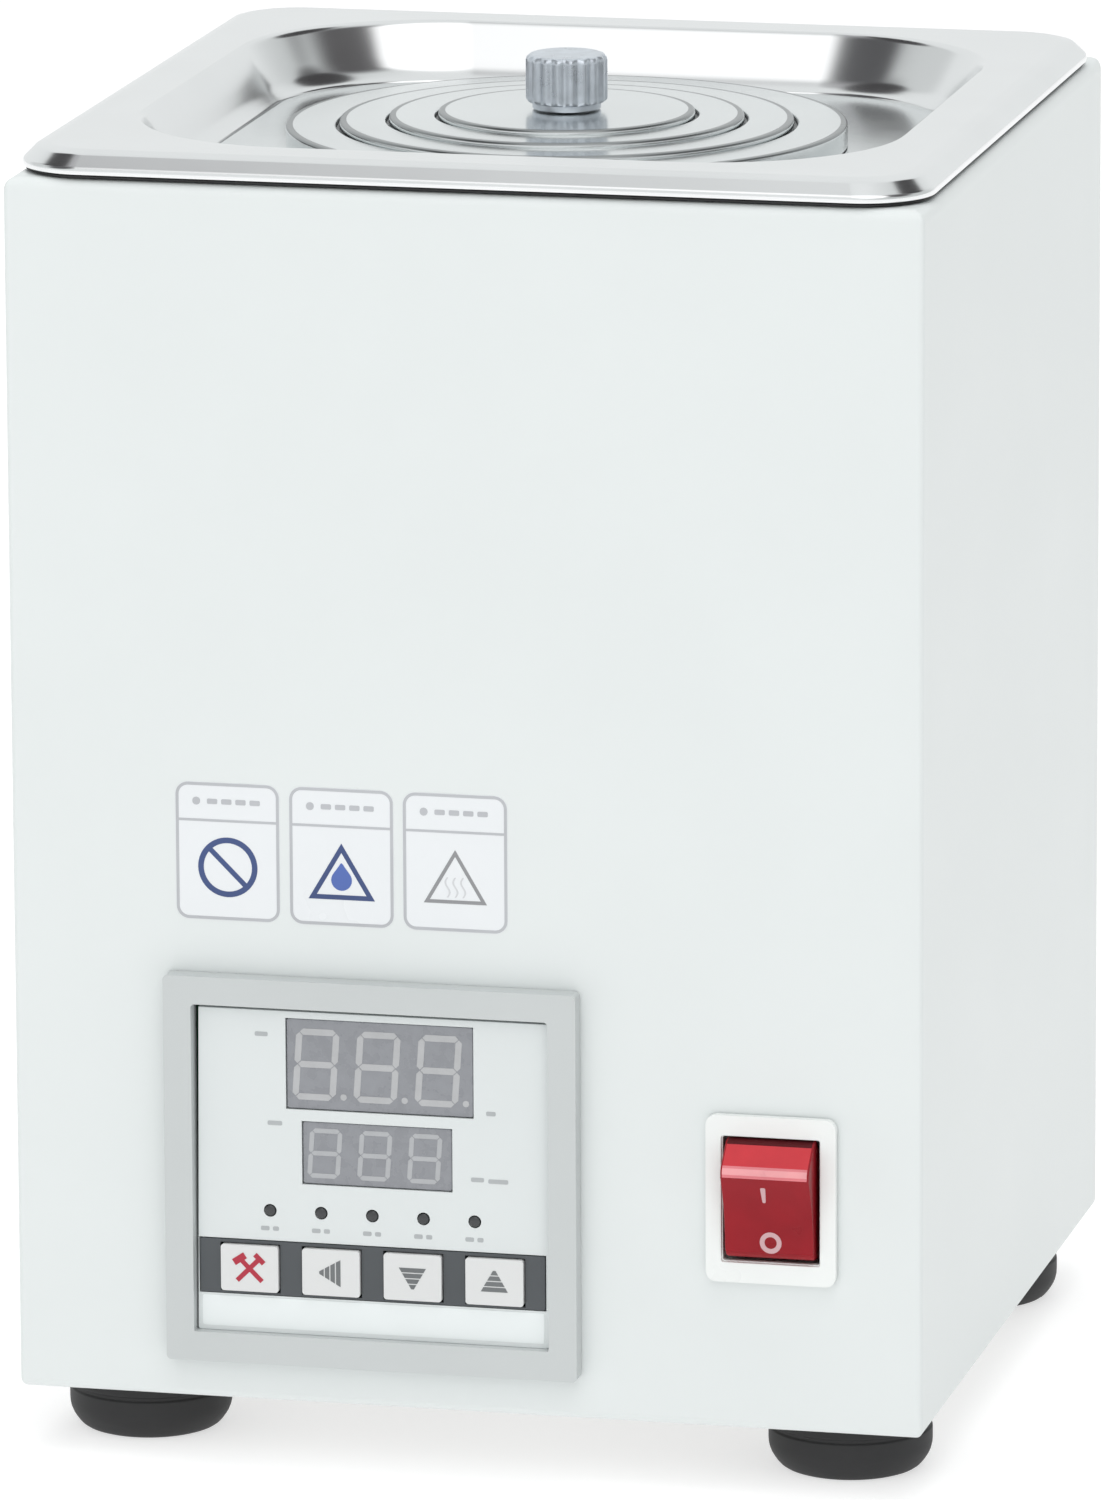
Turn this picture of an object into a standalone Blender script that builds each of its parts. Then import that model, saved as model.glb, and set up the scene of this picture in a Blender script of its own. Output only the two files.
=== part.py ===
"""Single-hole thermostatic paraffin wax bath.

A powder-coated box cabinet on four rubber feet carries a pressed stainless
steel tank. A square cover plate lies on the tank's ledge, three nesting rings
and a centre lid with a fluted knob close its round opening. A temperature
controller and a rocker switch sit in the front wall, the mains inlet in the
rear panel, and a plate heater is clamped under the tank.

Frame: +Z up, the front faces -Y, the origin is under the middle of the
object on the surface that it stands on. All values are in metres.
"""
import math

import bmesh
import bpy
from mathutils import Matrix, Vector

# ---------------------------------------------------------------- driving sizes
GAP = 0.0003                 # clearance between touching pieces
CABINET_HALF = 0.105         # half width and half depth of the square cabinet
CABINET_BOTTOM = 0.0153      # underside of the cabinet above the floor
CABINET_TOP = 0.2954
SHEET = 0.0012               # steel sheet of the cabinet
TOP_FOLD = 0.0024            # outer radius of the cabinet's top edge
SIDE_FOLD = 0.0014           # outer radius of its upright edges
BOTTOM_FOLD = 0.0016
TOP_LIP = 0.0140
BOTTOM_LIP = 0.0330

TANK_SHEET = 0.0010
FLANGE_TOP = 0.3015          # flat top of the tank's flange
FLANGE_FOOT = 0.2965         # lower edge of its bevelled skirt
FLANGE_HALF = 0.1043
PLATE_LEDGE = 0.2870         # ledge in the tank that the cover plate rests on
TANK_FLOOR = 0.1716

LID_SHEET = 0.0008
LID_STEP = 0.0010            # each lid stands this much above the one round it
SHOULDER_DEPTH = 0.0015      # seat for the next lid, below a ring's top
LID_GROOVE = 0.0008          # open groove round each nested lid
OUTER_RING_TOP = 0.2938
OUTER_RING_RADIUS = 0.0645
MIDDLE_RING_RADIUS = 0.0522
INNER_RING_RADIUS = 0.0408
CENTRE_LID_RADIUS = 0.0295
SEAT_WIDTH = 0.0034
KNOB_TOP = 0.3097
KNOB_RADIUS = 0.0094
KNOB_NECK_RADIUS = 0.0079

FOOT_RADIUS = 0.0190
FOOT_X = 0.0823
FOOT_Y = 0.0744

CONTROLLER_X = -0.0211       # centre of the temperature controller
CONTROLLER_Z = 0.0702
CONTROLLER_HALF_X = 0.0478
CONTROLLER_HALF_Z = 0.0449
CONTROLLER_BORDER = 0.0066
CONTROLLER_PROUD = 0.0050
FACE_FRONT = 0.0026          # front of the recessed face, out from the cabinet
BUTTON_PITCH = 0.0190
BUTTON_HALF_X = 0.0067
BUTTON_HALF_Z = 0.0054
BUTTON_Z = -0.0229
LAMP_PITCH = 0.0119
LAMP_Z = -0.0093

SWITCH_X = 0.0708            # centre of the rocker switch
SWITCH_Z = 0.0694
SWITCH_HALF_X = 0.0149
SWITCH_HALF_Z = 0.0193
SWITCH_OPENING_X = 0.0111
SWITCH_OPENING_Z = 0.0144
ROCKER_PIVOT_DEPTH = 0.0024  # pivot behind the cabinet's front face
ROCKER_TILT = math.radians(16.0)
ROCKER_CLEARANCE = 0.0009    # open groove at each side of the rocker

REAR_PANEL_HALF_X = 0.0950
REAR_PANEL_BOTTOM = 0.0266
REAR_PANEL_TOP = 0.2816
INLET_X = 0.0450
INLET_Z = 0.0666

CIRCLE_POINTS = 36           # points round the lids, four quarters of nine
CORNER_POINTS = 7            # points round each corner of a square outline

# ---------------------------------------------------------------- fitted sizes
BASE_SHEET = 0.0010
FOOT_SCREW_RADIUS = 0.0020
HOUSING_HALF_X = CONTROLLER_HALF_X - 0.0028
HOUSING_HALF_Z = CONTROLLER_HALF_Z - 0.0028
PV_WINDOW = (0.0019, 0.0252, 0.0216, 0.0104)      # centre x, z and half sizes
SV_WINDOW = (0.0012, 0.0046, 0.0173, 0.0072)
STRIP_WINDOW = (-0.0001, -0.0228, 0.0402, 0.0063)
LAMP_RADIUS = 0.0013
SWITCH_BODY_HALF_X = 0.0126
SWITCH_BODY_HALF_Z = 0.0169
INLET_BODY_HALF_X = 0.0138
INLET_BODY_HALF_Z = 0.0152
INLET_SCREW_X = 0.0200
SOCKET_UP = 0.0055
DRAWER_UP = -0.0092
DRAWER_HALF_X = 0.0110
DRAWER_HALF_Z = 0.0036
PIN_HALF_X = 0.0010
PIN_HALF_Z = 0.0020

# ---------------------------------------------------------------- materials
MATERIALS = {
    "powder_coat": ((0.80, 0.82, 0.82), 0.45, 0.0),
    "stainless": ((0.72, 0.73, 0.74), 0.18, 1.0),
    "zinc_steel": ((0.60, 0.60, 0.58), 0.40, 1.0),
    "black_rubber": ((0.02, 0.02, 0.02), 0.80, 0.0),
    "grey_knob": ((0.36, 0.41, 0.47), 0.30, 0.6),
    "light_plastic": ((0.58, 0.60, 0.61), 0.40, 0.0),
    "dark_plastic": ((0.06, 0.065, 0.07), 0.40, 0.0),
    "white_plastic": ((0.85, 0.85, 0.84), 0.35, 0.0),
    "red_plastic": ((0.45, 0.03, 0.05), 0.30, 0.0),
    "display_window": ((0.25, 0.27, 0.28), 0.15, 0.0),
    "lamp_lens": ((0.045, 0.047, 0.050), 0.22, 0.0),
    "board": ((0.03, 0.20, 0.09), 0.50, 0.0),
    "mineral_wool": ((0.66, 0.58, 0.36), 0.95, 0.0),
    "mica_heater": ((0.45, 0.38, 0.28), 0.60, 0.0),
    "brass": ((0.72, 0.54, 0.22), 0.30, 1.0),
}


def clear_scene():
    for old in list(bpy.data.objects):
        bpy.data.objects.remove(old, do_unlink=True)


def get_material(name):
    found = bpy.data.materials.get(name)
    if found:
        return found
    colour, roughness, metallic = MATERIALS[name]
    made = bpy.data.materials.new(name)
    made.use_nodes = True
    shader = made.node_tree.nodes["Principled BSDF"]
    shader.inputs["Base Color"].default_value = (*colour, 1.0)
    shader.inputs["Roughness"].default_value = roughness
    shader.inputs["Metallic"].default_value = metallic
    return made


# ---------------------------------------------------------------- shape helpers
def square_loop(half_x, half_y, radius, z, points=CORNER_POINTS):
    """Rounded rectangle in the XY plane, anticlockwise, as a list of points."""
    loop = []
    for quarter in range(4):
        sign_x = (1, -1, -1, 1)[quarter]
        sign_y = (1, 1, -1, -1)[quarter]
        centre_x = sign_x * (half_x - radius)
        centre_y = sign_y * (half_y - radius)
        for step in range(points):
            angle = math.pi / 2 * (quarter + step / (points - 1))
            loop.append(Vector((centre_x + radius * math.cos(angle),
                                centre_y + radius * math.sin(angle), z)))
    return loop


def round_loop(radius, z, points=CIRCLE_POINTS):
    """Circle in the XY plane whose points pair with those of square_loop."""
    loop = []
    for index in range(points):
        angle = 2 * math.pi * (index + 0.5) / points
        loop.append(Vector((radius * math.cos(angle), radius * math.sin(angle), z)))
    return loop


def hexagon_loop(flat, z):
    """Hexagon with a point in the middle of each side, twelve points in all."""
    loop = []
    for index in range(12):
        angle = math.pi / 6 * (index + 0.5)
        reach = flat / math.cos(math.pi / 6) if index % 2 else flat
        loop.append(Vector((reach * math.cos(angle), reach * math.sin(angle), z)))
    return loop


def bridge(mesh, loops, ring):
    """Skins a list of equally long loops. ring joins the last to the first,
    otherwise both ends are capped."""
    rows = [[mesh.verts.new(point) for point in loop] for loop in loops]
    count = len(rows[0])
    pairs = list(zip(rows, rows[1:]))
    if ring:
        pairs.append((rows[-1], rows[0]))
    for lower, upper in pairs:
        for index in range(count):
            after = (index + 1) % count
            mesh.faces.new((lower[index], lower[after], upper[after], upper[index]))
    if not ring:
        mesh.faces.new(list(reversed(rows[0])))
        mesh.faces.new(rows[-1])


def add_box(mesh, low, high):
    size = [b - a for a, b in zip(low, high)]
    middle = [(a + b) / 2 for a, b in zip(low, high)]
    matrix = Matrix.Translation(middle) @ Matrix.Diagonal((*size, 1.0))
    bmesh.ops.create_cube(mesh, size=1.0, matrix=matrix)


def add_cylinder(mesh, radius, low, high, x=0.0, y=0.0, points=16):
    middle = Matrix.Translation((x, y, (low + high) / 2))
    bmesh.ops.create_cone(mesh, cap_ends=True, segments=points, radius1=radius,
                          radius2=radius, depth=high - low, matrix=middle)


def finish(name, mesh, material, location=(0, 0, 0), rotation=(0, 0, 0), parent=None):
    """Turns a bmesh into a named object under the assembly's empty."""
    bmesh.ops.recalc_face_normals(mesh, faces=mesh.faces)
    data = bpy.data.meshes.new(name)
    mesh.to_mesh(data)
    mesh.free()
    data.shade_smooth()
    data.set_sharp_from_angle(angle=math.radians(35))
    data.materials.append(get_material(material))
    made = bpy.data.objects.new(name, data)
    bpy.context.collection.objects.link(made)
    made.parent = parent or bpy.data.objects["assembly"]
    made.location = location
    made.rotation_euler = rotation
    return made


def lofted(name, loops, material, ring=False, **place):
    mesh = bmesh.new()
    bridge(mesh, loops, ring)
    return finish(name, mesh, material, **place)


def turned(name, profile, material, ring=False, points=CIRCLE_POINTS, **place):
    """Solid of revolution about local Z from (radius, z) pairs."""
    loops = [round_loop(radius, z, points) for radius, z in profile]
    return lofted(name, loops, material, ring, **place)


def cut(target, name, mesh):
    """Takes the solids in mesh, in the target's own frame, out of it."""
    bmesh.ops.recalc_face_normals(mesh, faces=mesh.faces)
    data = bpy.data.meshes.new(name)
    mesh.to_mesh(data)
    mesh.free()
    cutter = bpy.data.objects.new(name, data)
    bpy.context.collection.objects.link(cutter)
    cutter.parent = target
    cutter.hide_render = True
    cutter.display_type = "WIRE"
    boolean = target.modifiers.new(name, "BOOLEAN")
    boolean.operation = "DIFFERENCE"
    boolean.solver = "EXACT"
    boolean.object = cutter


def front_place(x, z, proud=0.0):
    """Placement of a piece drawn as seen from the front: its local X is right,
    local Y is up and local Z comes out of the cabinet's front face."""
    return {"location": (x, -CABINET_HALF - proud, z), "rotation": (math.pi / 2, 0, 0)}


def rear_place(x, z, proud=0.0):
    """The same for the rear face, drawn as seen from behind."""
    return {"location": (x, CABINET_HALF + proud, z), "rotation": (math.pi / 2, 0, math.pi)}


# ---------------------------------------------------------------- cabinet
def fold_arc(centre, radius, start, end, steps):
    """Points of a fold in the (inset, z) plane, angles in degrees."""
    arc = []
    for step in range(steps + 1):
        angle = math.radians(start + (end - start) * step / steps)
        arc.append((centre[0] + radius * math.cos(angle), centre[1] + radius * math.sin(angle)))
    return arc


def cabinet_loop(inset, z):
    radius = max(SIDE_FOLD - inset, 0.0004)
    half = CABINET_HALF - inset
    return square_loop(half, half, radius, z, points=4)


def make_cabinet_shell():
    """Four walls of one sheet with lips folded in at the top and the bottom."""
    inner_fold = TOP_FOLD - SHEET
    section = [(BOTTOM_LIP, CABINET_BOTTOM)]
    section += fold_arc((BOTTOM_FOLD, CABINET_BOTTOM + BOTTOM_FOLD), BOTTOM_FOLD, 270, 180, 3)
    section += fold_arc((TOP_FOLD, CABINET_TOP - TOP_FOLD), TOP_FOLD, 180, 90, 5)
    section += [(TOP_LIP, CABINET_TOP), (TOP_LIP, CABINET_TOP - SHEET)]
    section += fold_arc((TOP_FOLD, CABINET_TOP - TOP_FOLD), inner_fold, 90, 180, 3)
    section += [(SHEET, CABINET_BOTTOM + SHEET), (BOTTOM_LIP, CABINET_BOTTOM + SHEET)]
    loops = [cabinet_loop(inset, z) for inset, z in section]
    shell = lofted("cabinet_shell", loops, "powder_coat", ring=True)

    openings = bmesh.new()
    front = -CABINET_HALF
    for x, z, half_x, half_z in (
            (CONTROLLER_X, CONTROLLER_Z, HOUSING_HALF_X + 0.0004, HOUSING_HALF_Z + 0.0004),
            (SWITCH_X, SWITCH_Z, SWITCH_BODY_HALF_X + 0.0004, SWITCH_BODY_HALF_Z + 0.0004)):
        add_box(openings, (x - half_x, front - 0.002, z - half_z),
                (x + half_x, front + 0.004, z + half_z))
    add_box(openings, (-0.085, CABINET_HALF - 0.004, 0.036), (0.085, CABINET_HALF + 0.002, 0.268))
    for x, y in foot_places():
        add_cylinder(openings, FOOT_SCREW_RADIUS + 0.0004, CABINET_BOTTOM - 0.002,
                     CABINET_BOTTOM + 0.004, x, y, points=12)
    for x, z in rear_screw_places():
        hole = Matrix.Translation((x, CABINET_HALF, z)) @ Matrix.Rotation(math.pi / 2, 4, "X")
        bmesh.ops.create_cone(openings, cap_ends=True, segments=12, depth=0.006,
                              radius1=0.0019, radius2=0.0019, matrix=hole)
    cut(shell, "cabinet_openings", openings)


def foot_places():
    return [(x * FOOT_X, y * FOOT_Y) for x in (-1, 1) for y in (-1, 1)]


def rear_screw_places():
    return [(x, z) for x in (-0.090, 0.090) for z in (0.030, 0.275)]


def make_rear_panel():
    """Flat cover over the service opening in the rear wall, drawn from behind."""
    middle_z = (REAR_PANEL_BOTTOM + REAR_PANEL_TOP) / 2
    half_z = (REAR_PANEL_TOP - REAR_PANEL_BOTTOM) / 2
    loops = [square_loop(REAR_PANEL_HALF_X, half_z, 0.004, z, points=4) for z in (0.0, SHEET)]
    panel = lofted("rear_panel", loops, "powder_coat", **rear_place(0, middle_z, GAP))

    openings = bmesh.new()
    for row in range(5):
        for side in (-1, 1):
            z = 0.075 - row * 0.010
            add_box(openings, (side * 0.040 - 0.022, z - 0.002, -0.001),
                    (side * 0.040 + 0.022, z + 0.002, 0.003))
    inlet_z = INLET_Z - middle_z
    add_box(openings, (-INLET_X - INLET_BODY_HALF_X - GAP, inlet_z - INLET_BODY_HALF_Z - GAP, -0.001),
            (-INLET_X + INLET_BODY_HALF_X + GAP, inlet_z + INLET_BODY_HALF_Z + GAP, 0.003))
    for x, z in rear_screw_places():
        add_cylinder(openings, 0.0019, -0.001, 0.003, x, z - middle_z, points=12)
    for side in (-1, 1):
        add_cylinder(openings, 0.0019, -0.001, 0.003, -INLET_X + side * INLET_SCREW_X,
                     inlet_z, points=12)
    cut(panel, "rear_panel_openings", openings)


def make_base_plate():
    half = CABINET_HALF - 0.0065
    low = CABINET_BOTTOM - GAP - BASE_SHEET
    loops = [square_loop(half, half, 0.003, z, points=4) for z in (low, low + BASE_SHEET)]
    plate = lofted("base_plate", loops, "zinc_steel")
    openings = bmesh.new()
    for row in range(5):
        for side in (-1, 1):
            y = (row - 2) * 0.012
            add_box(openings, (side * 0.036 - 0.022, y - 0.002, low - 0.001),
                    (side * 0.036 + 0.022, y + 0.002, low + BASE_SHEET + 0.001))
    for x, y in foot_places():
        add_cylinder(openings, FOOT_SCREW_RADIUS + 0.0004, low - 0.001,
                     low + BASE_SHEET + 0.001, x, y, points=12)
    cut(plate, "base_plate_openings", openings)


def make_feet():
    """Four turned rubber feet, each with a counterbore for its screw."""
    height = CABINET_BOTTOM - BASE_SHEET - 2 * GAP
    bore, counterbore, floor = 0.0025, 0.0052, 0.0063
    profile = [(counterbore, 0.0), (FOOT_RADIUS - 0.0035, 0.0), (FOOT_RADIUS - 0.0010, 0.0010),
               (FOOT_RADIUS, 0.0034), (FOOT_RADIUS - 0.0002, height), (bore, height),
               (bore, floor), (counterbore, floor)]
    screw = [(0.0042, 0.0035), (0.0042, 0.0052), (0.0030, 0.0060), (FOOT_SCREW_RADIUS, 0.0060),
             (FOOT_SCREW_RADIUS, 0.0190), (0.0012, 0.0200)]
    names = ("front_left", "rear_left", "front_right", "rear_right")
    for name, (x, y) in zip(names, foot_places()):
        turned("foot_" + name, profile, "black_rubber", ring=True, points=18,
               location=(x, y, 0))
        turned("foot_screw_" + name, screw, "zinc_steel", points=12, location=(x, y, 0))


def make_rear_screws():
    profile = [(0.0034, GAP), (0.0034, 0.0011), (0.0022, 0.0020)]
    shank = [(0.0015, -0.0060), (0.0015, GAP)]
    for index, (x, z) in enumerate(rear_screw_places(), 1):
        turned(f"rear_screw_{index}", shank + profile, "zinc_steel", points=12,
               **rear_place(x, z, GAP + SHEET))


# ---------------------------------------------------------------- tank and lids
def make_tank():
    """One pressed sheet: bevelled flange with a hem, slanted well, ledge, deep tank.
    Each entry is the outline's half width, its corner radius and its height."""
    upper = [
        (FLANGE_HALF, 0.0160, FLANGE_FOOT), (FLANGE_HALF, 0.0160, FLANGE_TOP - 0.0039),
        (0.1040, 0.0158, FLANGE_TOP - 0.0033), (0.1016, 0.0142, FLANGE_TOP - 0.0009),
        (0.1006, 0.0136, FLANGE_TOP - 0.0003), (0.0990, 0.0127, FLANGE_TOP),
        (0.0886, 0.0450, FLANGE_TOP), (0.0877, 0.0445, FLANGE_TOP - 0.0005),
        (0.0820, 0.0403, 0.2909), (0.0811, 0.0397, 0.2903), (0.0800, 0.0390, 0.2900),
        (0.0795, 0.0387, 0.2894), (0.0795, 0.0387, PLATE_LEDGE), (0.0735, 0.0335, PLATE_LEDGE),
        (0.0722, 0.0328, PLATE_LEDGE - 0.0014), (0.0686, 0.0300, 0.1836),
        (0.0665, 0.0290, 0.1761), (0.0615, 0.0275, 0.1724), (0.0560, 0.0260, TANK_FLOOR),
    ]
    stud = 0.0030
    under_floor = TANK_FLOOR - TANK_SHEET
    lower = [
        (stud, stud, 0.1536), (stud, stud, under_floor), (0.0563, 0.0262, under_floor),
        (0.0622, 0.0277, under_floor + 0.0009), (0.0675, 0.0294, 0.1757),
        (0.0696, 0.0306, 0.1836), (0.0732, 0.0334, PLATE_LEDGE - 0.0018),
        (0.0740, 0.0340, PLATE_LEDGE - TANK_SHEET), (0.0805, 0.0394, PLATE_LEDGE - TANK_SHEET),
        (0.0805, 0.0394, 0.2886), (0.0820, 0.0403, 0.2895), (0.0830, 0.0411, 0.2904),
        (0.0887, 0.0452, FLANGE_TOP - TANK_SHEET), (0.0990, 0.0126, FLANGE_TOP - TANK_SHEET),
        (0.1006, 0.0135, FLANGE_TOP - 0.0014), (0.1033, 0.0152, FLANGE_TOP - 0.0041),
        (FLANGE_HALF - TANK_SHEET, 0.0152, FLANGE_FOOT),
    ]
    loops = [square_loop(half, half, radius, z) for half, radius, z in lower + upper]
    lofted("tank", loops, "stainless")


def make_tank_gasket():
    """Flat silicone frame between the cabinet's top lip and the flange's foot."""
    outer, inner = FLANGE_HALF - 0.0007, 0.0970
    low, high = CABINET_TOP + GAP, FLANGE_FOOT - GAP
    section = [(inner, 0.0100, low), (outer, 0.0153, low), (outer, 0.0153, high),
               (inner, 0.0100, high)]
    loops = [square_loop(half, half, radius, z) for half, radius, z in section]
    lofted("tank_gasket", loops, "black_rubber", ring=True)


def make_cover_plate():
    """Square plate with an upturned neck round its hole."""
    corner = CIRCLE_POINTS // 4
    half, low = 0.0790, PLATE_LEDGE + GAP
    high = low + TANK_SHEET
    neck_top, neck = 0.2908, 0.0610
    loops = [square_loop(half, half, 0.0380, low, corner),
             square_loop(half, half, 0.0380, high, corner),
             round_loop(neck + 0.0011, high), round_loop(neck, high + 0.0010),
             round_loop(neck, neck_top), round_loop(neck - LID_SHEET, neck_top),
             round_loop(neck - LID_SHEET, low)]
    lofted("cover_plate", loops, "stainless", ring=True)


def ring_section(radius, top, foot, next_radius):
    """Section of a lid ring: outer skirt, flat top, sunk seat for the next lid."""
    edge = 0.0005
    wall = next_radius + LID_GROOVE
    seat = top - SHOULDER_DEPTH
    hole = wall - SEAT_WIDTH
    return [(radius, foot), (radius, top - edge), (radius - edge, top), (wall + edge, top),
            (wall, top - edge), (wall, seat), (hole, seat), (hole, seat - LID_SHEET),
            (wall + LID_SHEET, seat - LID_SHEET), (wall + LID_SHEET, top - LID_SHEET),
            (radius - LID_SHEET, top - LID_SHEET), (radius - LID_SHEET, foot)]


def make_lids():
    plate_top = PLATE_LEDGE + GAP + TANK_SHEET
    radii = (OUTER_RING_RADIUS, MIDDLE_RING_RADIUS, INNER_RING_RADIUS, CENTRE_LID_RADIUS)
    foot = plate_top + GAP
    top = OUTER_RING_TOP
    for index, name in enumerate(("ring_outer", "ring_middle", "ring_inner")):
        section = ring_section(radii[index], top, foot, radii[index + 1])
        turned(name, section, "stainless", ring=True)
        foot = top - SHOULDER_DEPTH + GAP
        top += LID_STEP
    edge, bore = 0.0005, 0.0024
    radius = CENTRE_LID_RADIUS
    disc = [(radius, foot), (radius, top - edge), (radius - edge, top), (bore, top),
            (bore, top - LID_SHEET), (radius - LID_SHEET, top - LID_SHEET),
            (radius - LID_SHEET, foot)]
    turned("centre_lid", disc, "stainless", ring=True)
    make_knob(top)


def fluted_loop(radius, z, depth=0.0007, flutes=16):
    loop = []
    for index in range(flutes * 3):
        angle = 2 * math.pi * index / (flutes * 3)
        reach = radius if index % 3 == 0 else radius - depth
        loop.append(Vector((reach * math.cos(angle), reach * math.sin(angle), z)))
    return loop


def make_knob(lid_top):
    """Fluted grip on a short neck, with a blind bore for the screw below."""
    points = 48
    low = lid_top + GAP
    bore = 0.0023
    grip = low + 0.0026
    loops = [round_loop(bore, low + 0.0080, points), round_loop(bore, low, points),
             round_loop(KNOB_NECK_RADIUS, low, points),
             round_loop(KNOB_NECK_RADIUS, grip - 0.0003, points),
             fluted_loop(KNOB_RADIUS, grip + 0.0004), fluted_loop(KNOB_RADIUS, KNOB_TOP - 0.0008),
             fluted_loop(KNOB_RADIUS - 0.0008, KNOB_TOP)]
    lofted("lid_knob", loops, "grey_knob")
    head = lid_top - LID_SHEET - GAP
    screw = [(0.0030, head - 0.0018), (0.0042, head - 0.0008), (0.0042, head),
             (0.0020, head), (0.0020, low + 0.0072)]
    turned("knob_screw", screw, "zinc_steel", points=16)


def make_perforated_shelf():
    """Lift-out shelf: a plate with a turned-down rim that stands on the floor."""
    half, corner, top, foot = 0.0590, 0.0260, 0.1836, TANK_FLOOR + 0.0010
    loops = [square_loop(half, half, corner, foot, 6),
             square_loop(half, half, corner, top - 0.0008, 6),
             square_loop(half - 0.0008, half - 0.0008, corner - 0.0008, top, 6)]
    inside = half - LID_SHEET
    under = [square_loop(inside, inside, corner - LID_SHEET, top - LID_SHEET, 6),
             square_loop(inside, inside, corner - LID_SHEET, foot, 6)]
    shelf = lofted("perforated_shelf", list(reversed(loops)) + list(reversed(under)), "stainless")
    holes = bmesh.new()
    for column in range(-2, 3):
        for row in range(-2, 3):
            if abs(column) + abs(row) < 3:
                add_cylinder(holes, 0.0060, top - 0.002, top + 0.001,
                             column * 0.024, row * 0.024, points=10)
    cut(shelf, "shelf_holes", holes)


# ---------------------------------------------------------------- heating
def make_heating():
    """Wool jacket round the tank, and the heater clamped under its floor."""
    section = [(0.0780, 0.0360, 0.1796), (0.0900, 0.0480, 0.1796),
               (0.0900, 0.0480, 0.2816), (0.0780, 0.0360, 0.2816)]
    loops = [square_loop(half, half, radius, z) for half, radius, z in section]
    lofted("insulation_jacket", loops, "mineral_wool", ring=True)

    level = TANK_FLOOR - TANK_SHEET - GAP
    heater = [(0.0042, level - 0.0062), (0.0520, level - 0.0062), (0.0520, level),
              (0.0042, level)]
    turned("heater_plate", heater, "mica_heater", ring=True, points=32)
    level -= 0.0062 + GAP
    clamp = [(0.0042, level - 0.0015), (0.0460, level - 0.0015), (0.0460, level),
             (0.0042, level)]
    turned("heater_clamp", clamp, "zinc_steel", ring=True, points=24)
    level -= 0.0015 + GAP
    nut = [round_loop(0.0034, level - 0.0050, 12), hexagon_loop(0.0050, level - 0.0050),
           hexagon_loop(0.0050, level), round_loop(0.0034, level, 12)]
    lofted("heater_nut", nut, "zinc_steel", ring=True)
    cutout = [(0.0070, level - 0.0110), (0.0078, level - 0.0100), (0.0078, level - 0.0015),
              (0.0095, level - 0.0015), (0.0095, level)]
    turned("thermal_cutout", cutout, "dark_plastic", points=20, location=(0.030, 0, 0))


def make_temperature_probe():
    """Steel sheathed probe upright against the tank's rear wall, in its clip."""
    x, y, radius = 0.025, 0.0742, 0.0020
    probe = [(0.0012, 0.1876), (radius, 0.1886), (radius, 0.2296), (0.0015, 0.2301),
             (0.0015, 0.2356)]
    turned("temperature_probe", probe, "stainless", points=12, location=(x, y, 0))
    low, high = 0.2016, 0.2096
    clip = [square_loop(0.0042, 0.0029, 0.0008, low, 3), square_loop(0.0042, 0.0029, 0.0008, high, 3),
            round_loop(radius + GAP, high, 12), round_loop(radius + GAP, low, 12)]
    lofted("probe_clip", clip, "zinc_steel", ring=True, location=(x, y, 0))


# ---------------------------------------------------------------- controller
def make_controller():
    """Panel controller. Its pieces are drawn as seen from the front, about the
    centre of its bezel, with local Z coming out of the cabinet."""
    place = front_place(CONTROLLER_X, CONTROLLER_Z)
    inner_x = CONTROLLER_HALF_X - CONTROLLER_BORDER
    inner_z = CONTROLLER_HALF_Z - CONTROLLER_BORDER
    front = CONTROLLER_PROUD
    frame = [(CONTROLLER_HALF_X, CONTROLLER_HALF_Z, 0.0012, GAP),
             (CONTROLLER_HALF_X, CONTROLLER_HALF_Z, 0.0012, front - 0.0009),
             (CONTROLLER_HALF_X - 0.0009, CONTROLLER_HALF_Z - 0.0009, 0.0008, front),
             (inner_x + 0.0006, inner_z + 0.0006, 0.0012, front),
             (inner_x, inner_z, 0.0008, front - 0.0006), (inner_x, inner_z, 0.0008, GAP)]
    loops = [square_loop(x, y, radius, z, points=4) for x, y, radius, z in frame]
    lofted("controller_frame", loops, "light_plastic", ring=True, **place)

    face_x, face_z = inner_x - GAP, inner_z - GAP
    back = FACE_FRONT - 0.0015
    loops = [square_loop(face_x, face_z, 0.0006, z, points=3) for z in (back, FACE_FRONT)]
    face = lofted("controller_face", loops, "light_plastic", **place)
    windows = bmesh.new()
    for x, z, half_x, half_z in (PV_WINDOW, SV_WINDOW, STRIP_WINDOW):
        add_box(windows, (x - half_x - GAP, z - half_z - GAP, back - 0.001),
                (x + half_x + GAP, z + half_z + GAP, FACE_FRONT + 0.001))
    for x in lamp_columns():
        add_cylinder(windows, LAMP_RADIUS + GAP, back - 0.001, FACE_FRONT + 0.001,
                     x, LAMP_Z, points=10)
    cut(face, "controller_windows", windows)

    for name, (x, z, half_x, half_z) in (("pv_display", PV_WINDOW), ("sv_display", SV_WINDOW)):
        mesh = bmesh.new()
        add_box(mesh, (x - half_x, z - half_z, -0.0025), (x + half_x, z + half_z, FACE_FRONT - 0.0004))
        finish(name, mesh, "display_window", **place)
    for index, x in enumerate(lamp_columns(), 1):
        lens = [(LAMP_RADIUS, -0.0025), (LAMP_RADIUS, FACE_FRONT + 0.0001),
                (LAMP_RADIUS * 0.6, FACE_FRONT + 0.0005)]
        loops = [round_loop(radius, z, 10) for radius, z in lens]
        for loop in loops:
            for point in loop:
                point += Vector((x, LAMP_Z, 0))
        lofted(f"indicator_lamp_{index}", loops, "lamp_lens", **place)
    make_button_strip(place)
    make_controller_inside(place)


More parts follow.
